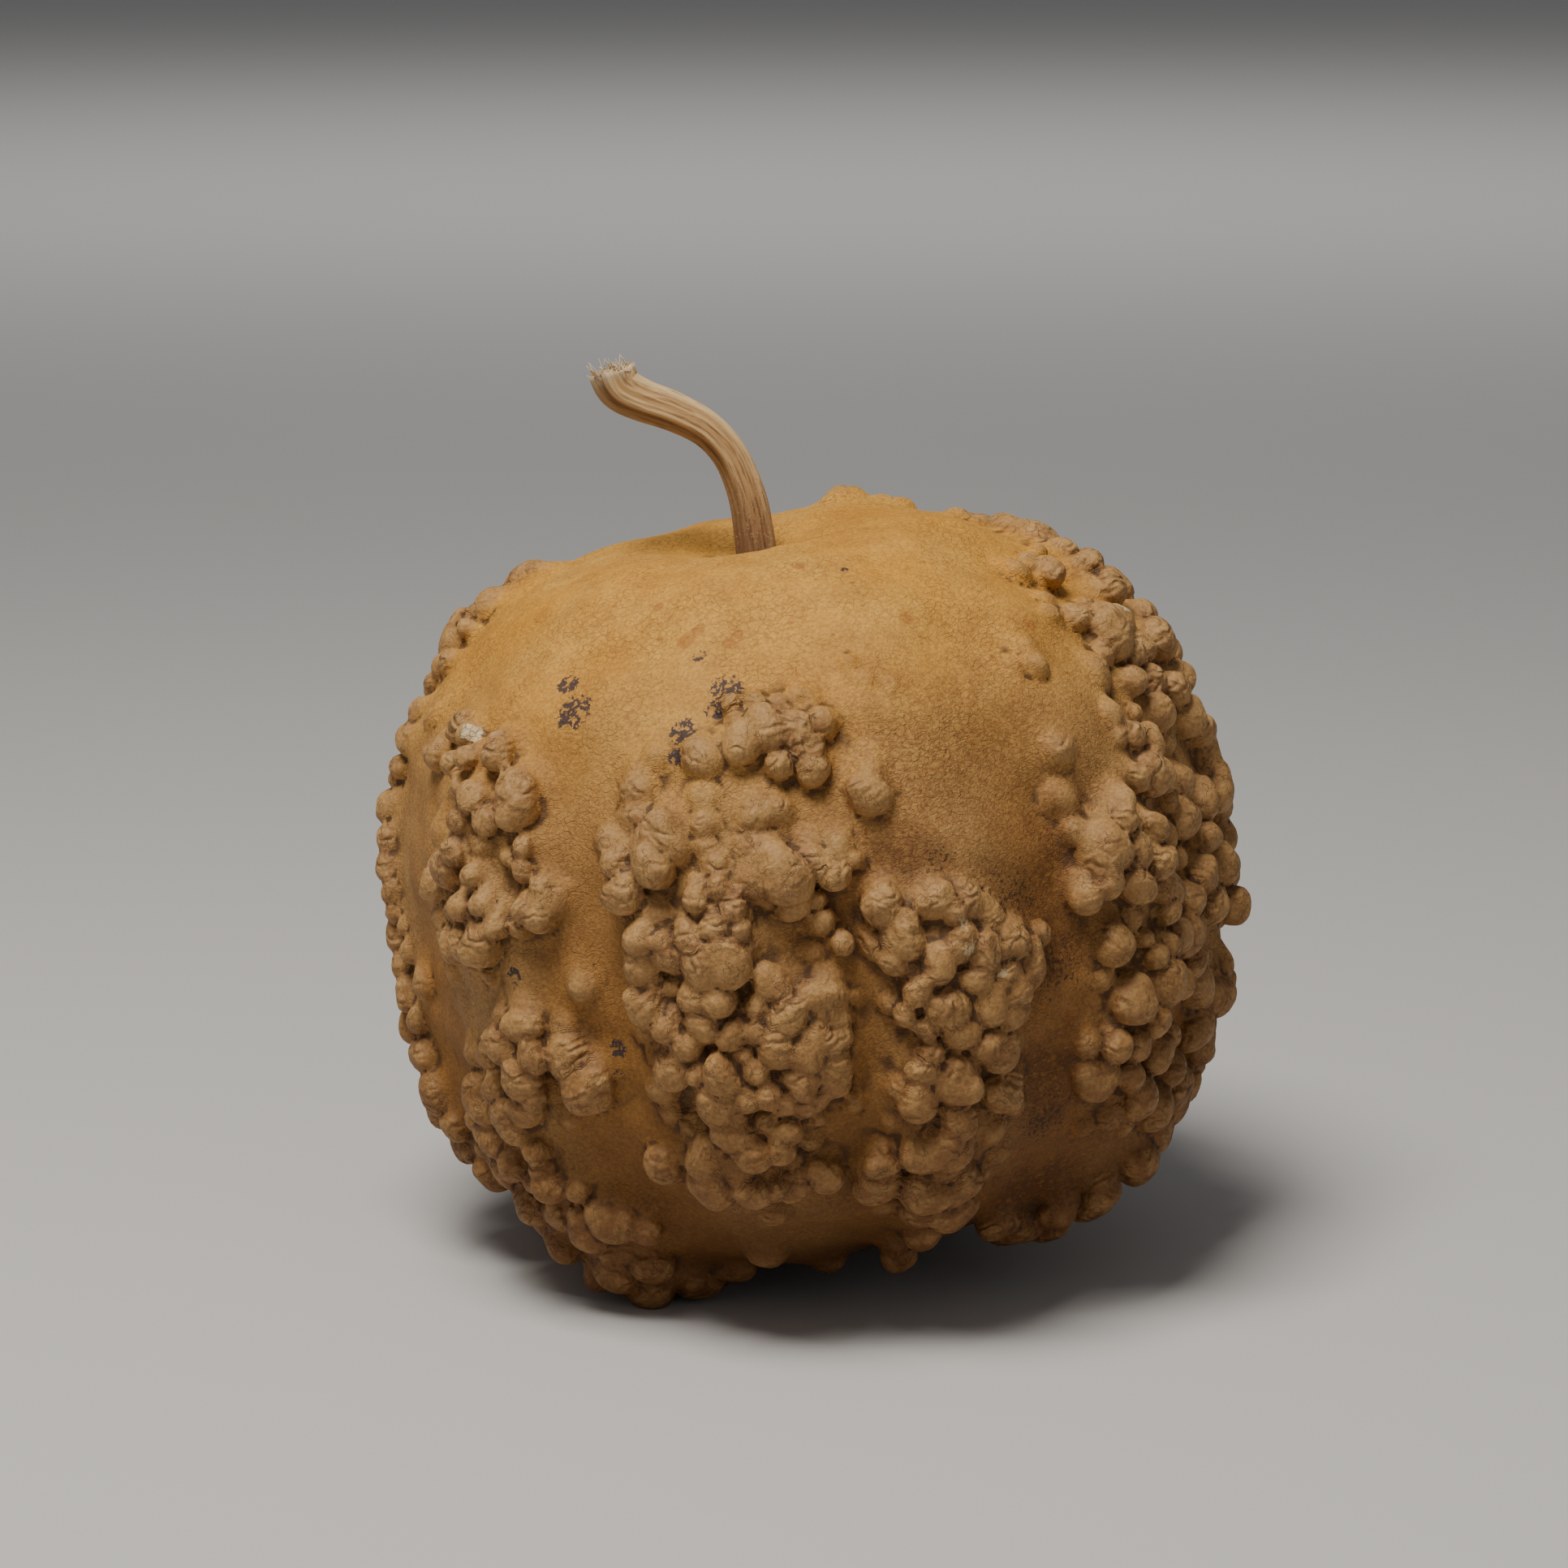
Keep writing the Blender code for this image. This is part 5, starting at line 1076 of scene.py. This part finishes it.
def rind_finish():
    """Dry gourd rind: granular, crackled skin, folded warts, painted shade in the creases, stains and
    mildew.
    """
    look = Finish("dried rind")
    place = fruit_place(look)
    rise, furrow, level, crease, hollow, across, folding = (
        look.kept(name) for name in ("rise", "furrow", "level", "crease", "hollow", "across", "folding"))
    wart = rise.ramp(0.8, 3.4)
    skin = 1.0 - wart
    stained = spots(look, place, STAINS)

    # Granules and a net of hair cracks on the skin, drawn wider than high.
    grain = look.noise(place, GRAIN_SIZE, 3.0, 0.65)
    flat = look.moved("MULTIPLY", look.warped(place, 2.4, 2.0), (1.0, 1.0, 1.6))
    crackle = look.cells(flat, CRACKLE_SIZE).ramp(0.09, 0.0) * skin
    crackle = crackle * look.noise(place, 13.0, 2.0).ramp(0.34, 0.58)
    granular = spots(look, place, GRANULAR).ramp(0.0, 0.7)
    worms = abs(look.noise(flat, WORM_SIZE, 1.0) - 0.5).ramp(0.09, 0.015) * skin

    # Folds across the warts, which come and go, and thin wandering creases between them.
    wander = look.noise(place, 7.0, 2.0) * 7.0 + look.noise(place, 2.2, 2.0) * 0.8
    fold_away = (across + wander).folded(0.5 * FOLD_SPACING)
    folding = folding * look.noise(place, 4.5, 1.0).ramp(0.36, 0.56)
    groove = fold_away.ramp(0.36, 0.0) * folding
    line = abs(look.noise(place, LINE_SIZE, 3.0, 0.55) - 0.5).ramp(0.014, 0.0) * wart
    line = line * look.noise(place, 5.0, 1.0).ramp(0.44, 0.58)
    squat = look.moved("MULTIPLY", look.warped(place, 6.0, 3.0), (1.0, 1.0, 1.35))
    pinch_away = abs(look.noise(squat, PINCH_SIZE, 1.0) - 0.5)
    pinching = look.noise(place, 8.0, 1.0).ramp(0.4, 0.58) * wart
    pinch = pinch_away.ramp(0.024, 0.0) * pinching

    # The skin's colour, with the painted shade of its sides and underside, and mottles, granules, cracks
    # and freckles.
    colour = skin_colour(look, place, level, furrow, wart)
    mottle = look.noise(place, MOTTLE_SIZE, 3.0, 0.6)
    dark = (0.52 - mottle).ramp(-0.04, 0.14) * skin
    colour = look.tinted(dark * (0.08 + stained * 0.32 + granular * 0.26), colour, STAIN_BROWN)
    colour = look.tinted((mottle - 0.5).ramp(0.0, 0.16) * (0.1 + stained * 0.4) * skin, colour, OCHRE)
    colour = look.tinted(worms * (0.05 + granular * 0.5), colour, STAIN_BROWN)
    colour = look.tinted(crackle * 0.36, colour, STAIN_BROWN)
    ragged = (look.noise(place, 1.6, 4.0, 0.65) - 0.5) * 1.3
    freckle = (spots(look, place, FRECKLES) + ragged).ramp(0.3, 0.42)
    colour = look.tinted(freckle * 0.6, colour, FRECKLE)
    fleck = look.noise(place, FLECK_SIZE, 2.0, 0.6).ramp(0.6, 0.64)
    fleck = fleck * look.noise(place, 17.0, 1.0).ramp(0.42, 0.58)
    colour = look.tinted(fleck * skin * (0.14 + granular * 0.5), colour, FRECKLE)

    # The warts: tan to rose, darker and browner below as painted shade, and paler on their crests.
    tan = look.tinted(look.noise(place, 8.0, 3.0).ramp(0.4, 0.62), linear(WART_TAN), WART_ROSE)
    # Painted shade: the warts darkened low down.
    tan = look.tinted((0.25 - level).ramp(0.0, 0.8), tan, WART_UNDER_SHADE)
    colour = look.mix(wart * 0.85, colour, tan)
    crest = (hollow + 0.08).ramp(-0.02, -0.30) * wart
    colour = look.tinted(crest * look.noise(place, 4.0, 3.0).ramp(0.35, 0.65) * 0.45, colour, TIP_CREAM)

    # Brown stains with ragged, granular edges, and black specks within them.
    ragged = (look.noise(place, 6.0, 6.0, 0.72) - 0.5) * 2.6 + (mottle - 0.5) * 1.6
    stain = (stained + ragged).ramp(0.38, 0.68) * skin
    colour = look.tinted(stain * 0.4, colour, STAIN_BROWN, "MULTIPLY")
    speckled = spots(look, place, SPECKS)
    speck = (grain + speckled * 0.2).ramp(0.68, 0.74) * speckled.ramp(0.0, 0.3)
    colour = look.tinted(speck * 0.8, colour, CREASE_SHADE_AND_SPECK_BROWN)

    # The underside darkened as painted shade, and the dark between the granules.
    colour = look.tinted((0.12 - level).ramp(0.0, 0.85) * 0.6, colour, SHADE_BROWN, "MULTIPLY")
    colour = look.tinted((0.6 - grain).ramp(0.0, 0.2) * 0.34, colour, GRAIN_BROWN, "MULTIPLY")

    # Painted shade in the creases, hollows and folds.
    crease_shade = crease.ramp(0.04, 0.2).most(hollow.ramp(0.35, 1.0) * 0.6)
    crease_shade = crease_shade.most(groove * 0.5).most(line * 0.3).most(pinch * 0.32)
    colour = look.tinted(crease_shade * 0.8, colour, CREASE_SHADE_AND_SPECK_BROWN)

    # Mildew in small black clots.
    mouldy = spots(look, place, MILDEW)
    clots = abs(look.noise(look.warped(place, 1.5, 1.2), 1.5, 2.0, 0.55) - 0.5)
    mould = (mouldy.ramp(0.0, 0.6) * 0.12 - clots).ramp(0.0, 0.012) * mouldy.ramp(0.0, 0.2)
    mould = mould * look.noise(place, 2.2, 2.0).ramp(0.36, 0.46)
    colour = look.tinted(mould * 0.9, colour, MILDEW_BLACK)
    colour, scab = with_scabs(look, place, colour)

    # The relief of all of them.
    lumps = look.noise(place, 3.2, 3.0) * (0.25 + wart)
    relief = (grain * GRAIN_RELIEF - crackle * CRACKLE_RELIEF - worms * WORM_RELIEF - line * LINE_RELIEF
              + fold_away.ramp(0.0, 1.0) * folding * FOLD_RELIEF
              + pinch_away.ramp(0.0, 0.13) * pinching * PINCH_RELIEF
              + lumps * LUMP_RELIEF + scab * SCAB_RELIEF)
    roughness = 0.64 - wart * 0.06 + grain * 0.12
    return look.finish(colour, roughness, relief)


def patches(look, place, marks, fray, edge):
    """1 within the reach of a mark, with an edge that the noise frays, and 0 outside it."""
    masks = []
    for azimuth, height, reach, rise in marks:
        middle = direction(azimuth, height) * (skin_radius(azimuth, height) + rise)
        masks.append((look.away(place, middle) * (1.0 / reach) + fray).ramp(*edge))
    return strongest(masks)


def with_scabs(look, place, colour):
    """The colour with pale, cracked scabs and worn tips, and the scabs' mask."""
    ragged = (look.noise(place, 1.6, 3.0) - 0.5) * 1.2
    frayed = (look.noise(place, 1.1, 4.0, 0.65) - 0.5) * 2.8
    scab = patches(look, place, SCABS, ragged, (1.0, 0.85))
    tip = patches(look, place, WORN_TIPS, frayed, (1.3, 0.8))
    crack = look.cells(place, 1.5).ramp(0.09, 0.02)
    colour = look.tinted(scab, colour, SCAB_CREAM)
    colour = look.tinted(scab * crack * 0.7, colour, STEM_DARK_AND_SHADE)
    return look.tinted(tip * 0.6, colour, SCAB_CREAM), scab


def stem_centreline():
    """Evenly spaced points along a smooth curve through the stem's own points."""
    points = [np.array((x, z), dtype=float) for x, z in STEM_LINE]
    points = [2 * points[0] - points[1]] + points + [2 * points[-1] - points[-2]]
    dense = []
    for before, start, end, after in zip(points, points[1:], points[2:], points[3:]):
        for t in np.linspace(0, 1, 20, endpoint=False):
            dense.append(0.5 * (2 * start + (end - before) * t
                                + (2 * before - 5 * start + 4 * end - after) * t ** 2
                                + (3 * start - before - 3 * end + after) * t ** 3))
    dense.append(points[-2])
    dense = np.array(dense)
    length = np.concatenate(([0], np.cumsum(np.linalg.norm(np.diff(dense, axis=0), axis=1))))
    wanted = np.linspace(0, length[-1] - STEM_TORN, STEM_RINGS)
    return np.stack([np.interp(wanted, length, dense[:, n]) for n in (0, 1)], axis=1)


def stem_shape(share, around):
    """The stem's radius at shares of its length and angles around it, with its fibres' fine ridges."""
    waist, flare = (depth * bell((share - place) / reach)
                    for depth, place, reach in (STEM_WAIST, STEM_FLARE))
    ridge = sum(height * np.cos(count * around + start + twist * share)
                for count, start, twist, height in STEM_RIDGES)
    ridge = ridge + sum(height * bell(turned(np.degrees(around) - place) / reach)
                        for place, reach, height in LONE_RIDGES)
    fine = 0.024 * np.cos(17 * around + 3.0 * np.sin(2.2 * share + 1.0))
    fine = fine + 0.014 * np.cos(31 * around - 4.0 * share)
    return STEM_RADIUS * (1.0 - waist) * (1.0 + ridge + fine) * (1.0 + flare), ridge


def stem_mesh():
    """A ridged rod along the centreline with a torn, hollowed end."""
    rng = np.random.default_rng(STEM_SEED)
    line = np.concatenate(([(0.0, -STEM_ROOT_DEPTH)], stem_centreline()))
    ahead = np.gradient(line, axis=0)
    ahead /= np.linalg.norm(ahead, axis=1)[:, None]
    share = np.clip((np.arange(len(line)) - 1) / (len(line) - 2), 0.0, 1.0)
    share, around = np.meshgrid(share, np.arange(STEM_SIDES) * math.tau / STEM_SIDES, indexing="ij")
    radius, ridge = stem_shape(share, around)
    tear = TEAR_WAVE * np.abs(np.sin(1.5 * around[0])) + rng.uniform(0, TEAR_JAG, STEM_SIDES)
    pushed = line[:, None, :] + ahead[:, None, :] * np.where(share == 1.0, tear, 0.0)[..., None]
    x = pushed[..., 0] - ahead[:, 1:] * np.cos(around) * radius
    z = pushed[..., 1] + ahead[:, :1] * np.cos(around) * radius
    y = np.sin(around) * radius
    rings = np.stack((x, y, z), axis=-1).reshape(-1, 3)
    hollow = line[-1] - ahead[-1] * END_SUNK
    points = np.concatenate((rings, [(line[0][0], 0.0, line[0][1]), (hollow[0], 0.0, hollow[1])]))
    faces = []
    last = (len(line) - 1) * STEM_SIDES
    for n in range(STEM_SIDES):
        m = (n + 1) % STEM_SIDES
        faces += [(k + n, k + m, k + STEM_SIDES + m, k + STEM_SIDES + n)
                  for k in range(0, last, STEM_SIDES)]
        faces += [(m, n, len(rings)), (last + n, last + m, len(rings) + 1)]
    mesh = bpy.data.meshes.new("stem")
    mesh.from_pydata(points * MM, [], faces)
    length = share * np.linalg.norm(np.diff(line, axis=0), axis=1).sum()
    grain = np.stack((np.cos(around) * radius, np.sin(around) * radius, length), axis=-1).reshape(-1, 3)
    ends = np.zeros((2, 3))
    mesh.attributes.new("grain", "FLOAT_VECTOR", "POINT").data.foreach_set(
        "vector", np.concatenate((grain, ends)).astype(np.float32).ravel())
    add_numbers(mesh, "ridge", np.concatenate((ridge.ravel(), (-0.1, -0.3))))
    add_numbers(mesh, "share", np.concatenate((share.ravel(), (0.0, 1.0))))
    # How far each point lies towards the stem's underside, for its painted shade.
    add_numbers(mesh, "under", np.concatenate((np.cos(around).ravel(), (0.0, 0.0))))
    return mesh


def stem_place():
    """Where the stem's root stands: the middle of the dimple, in the ground frame."""
    return fruit_frame() @ Vector((STEM_SHIFT * MM, 0, float(skin_radius(0.0, 90.0)) * MM))


def make_stem():
    mesh = stem_mesh()
    mesh.transform(Matrix.Translation(stem_place()))
    add_piece("woody_stem", mesh, "stem", stem_finish())


def make_fibres():
    """The pale, papery fibres that stand out of the stem's torn end."""
    rng = np.random.default_rng(FIBRE_SEED)
    line = stem_centreline()
    ahead = Vector((line[-1][0] - line[-4][0], 0.0, line[-1][1] - line[-4][1])).normalized()
    side = ahead.cross(Vector((0, 1, 0))).normalized()
    end = Vector((line[-1][0], 0.0, line[-1][1]))
    work = bmesh.new()
    for _ in range(FIBRES):
        angle = rng.uniform(0, math.tau)
        out = side * math.cos(angle) + Vector((0, 1, 0)) * math.sin(angle)
        place = end + out * STEM_RADIUS * rng.uniform(*FIBRE_ASIDE) - ahead * FIBRE_ROOT
        heading = (ahead * rng.uniform(0.5, 1.0) + out * rng.uniform(-0.3, 0.6)).normalized()
        bend = Vector(rng.uniform(-0.7, 0.7, 3))
        flat = heading.cross(out).normalized()
        width = rng.uniform(*FIBRE_WIDTH)
        length = rng.uniform(*FIBRE_LENGTH) * (1.0 - 0.3 * width)
        rings = []
        for share in np.linspace(0.0, 1.0, FIBRE_RINGS):
            middle = place + heading * length * share + bend * length * share * share
            half = flat * width * 0.5 * (1.0 - 0.8 * share * share)
            thick = out * FIBRE_HALF_THICKNESS
            rings.append([work.verts.new((middle + corner) * MM)
                          for corner in (half, thick, -half, -thick)])
        for lower, upper in zip(rings, rings[1:]):
            for n in range(4):
                work.faces.new((lower[n], lower[n - 1], upper[n - 1], upper[n]))
        work.faces.new(rings[0])
        work.faces.new(rings[-1][::-1])
    bmesh.ops.recalc_face_normals(work, faces=work.faces[:])
    mesh = bpy.data.meshes.new("fibres")
    work.to_mesh(mesh)
    work.free()
    mesh.transform(Matrix.Translation(stem_place()))
    add_piece("stem_fibres", mesh, None, fibre_finish())


def stem_finish():
    """Dry, woody stem: light ridges, dark furrows, an underside darkened as painted shade, long streaks
    and a plum-grey foot.
    """
    look = Finish("woody stem")
    grain = look.node("ShaderNodeAttribute", {"attribute_name": "grain"}, {}, "Vector")
    ridge = look.kept("ridge")
    share = look.kept("share")
    long_grain = look.moved("MULTIPLY", grain, (1.0, 1.0, 0.07))
    streak = look.noise(long_grain, 0.7, 4.0, 0.65)
    broad = look.noise(long_grain, 2.4, 2.0)
    colour = look.tinted(ridge.ramp(-0.04, 0.12) * 0.7, linear(STEM_TAN), STEM_RIDGE)
    colour = look.tinted(ridge.ramp(-0.03, -0.13) * 0.5, colour, STEM_DARK_AND_SHADE)
    colour = look.tinted(streak.ramp(0.48, 0.66) * 0.7, colour, STEM_DARK_AND_SHADE)
    colour = look.tinted(broad.ramp(0.5, 0.7) * 0.35, colour, STEM_RIDGE)
    foot = share.ramp(0.4, 0.0) * 0.7
    colour = look.tinted(foot, colour, STEM_PLUM)
    # Painted shade: the underside darkened.
    colour = look.tinted(look.kept("under").ramp(-0.1, 0.95) * 0.55, colour, STEM_DARK_AND_SHADE)
    speck = look.noise(grain, 0.5, 3.0, 0.7).ramp(0.56, 0.64)
    colour = look.tinted(speck * share.ramp(0.5, 0.05) * 0.6, colour, STEM_DARK_AND_SHADE)
    fleck = look.noise(grain, 0.7, 3.0, 0.7).ramp(0.58, 0.66)
    colour = look.tinted(fleck * share.ramp(0.45, 0.0) * 0.55, colour, STEM_RIDGE)
    colour = look.tinted(share.ramp(0.95, 1.0) * 0.3, colour, FIBRE_PALE)
    return look.finish(colour, 0.68 + streak * 0.15, streak * -0.25 + broad * 0.2)


def fibre_finish():
    look = Finish("papery fibre")
    cloud = look.noise(look.world(), 0.6 * MM, 2.0)
    colour = look.tinted(cloud.ramp(0.35, 0.7), linear(FIBRE_PALE), STEM_TAN)
    return look.finish(colour, 0.8, cloud * 0.05)


def add_piece(name, mesh, node, material):
    """A piece of the fruit, which replaces the solid that it is the finer form of, if any."""
    piece = new_object(name, mesh)
    mesh.materials.clear()
    mesh.materials.append(material)
    mesh.shade_smooth()
    if node:
        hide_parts(node)
    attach(piece, "root")


def make_camera():
    tilt = math.radians(CAMERA_HEIGHT)
    right = Vector((1, 0, 0))
    ahead = Vector((0, math.cos(tilt), -math.sin(tilt)))
    up = right.cross(ahead)
    middle = Vector((*CENTRE_SHIFT, CENTRE_HEIGHT))
    off = (up * MIDDLE_DOWN - right * MIDDLE_RIGHT) * (CAMERA_AWAY / FOCAL_PIXELS)
    place = (middle + off - ahead * CAMERA_AWAY) * MM
    camera = new_object("camera", bpy.data.cameras.new("camera"))
    camera.data.sensor_width = SENSOR
    camera.data.lens = SENSOR * FOCAL_PIXELS / PICTURE
    camera.matrix_world = Matrix.Translation(place) @ Matrix((right, up, -ahead)).transposed().to_4x4()
    bpy.context.scene.camera = camera


def make_light(name, place, aim, size, power, warmth):
    light = bpy.data.lights.new(name, "AREA")
    light.size = size
    light.energy = power
    light.color = warmth
    lamp = new_object(name, light)
    lamp.location = place
    lamp.rotation_euler = (Vector(aim) - Vector(place)).to_track_quat("-Z", "Y").to_euler()


def make_floor():
    mesh = bpy.data.meshes.new("floor")
    corners = [(-1, -1), (1, -1), (1, 1), (-1, 1)]
    mesh.from_pydata([(x * FLOOR_REACH, y * FLOOR_REACH, 0) for x, y in corners], [], [(0, 1, 2, 3)])
    look = Finish("pale floor")
    cloud = look.noise(look.world(), 0.4, 2.0)
    colour = look.tinted(cloud * 0.06, linear(FLOOR_PALE), SCAB_CREAM)
    mesh.materials.append(look.finish(colour, 0.75, 0.0))
    new_object("floor", mesh)


def make_studio():
    for light in LIGHTS:
        make_light(*light)
    world = bpy.data.worlds.new("studio")
    bpy.context.scene.world = world
    world.use_nodes = True
    world.node_tree.nodes["Background"].inputs["Color"].default_value = SKY_COLOUR
    world.node_tree.nodes["Background"].inputs["Strength"].default_value = SKY_STRENGTH


def main():
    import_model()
    make_rind()
    make_stem()
    make_fibres()
    make_floor()
    make_studio()
    make_camera()


main()
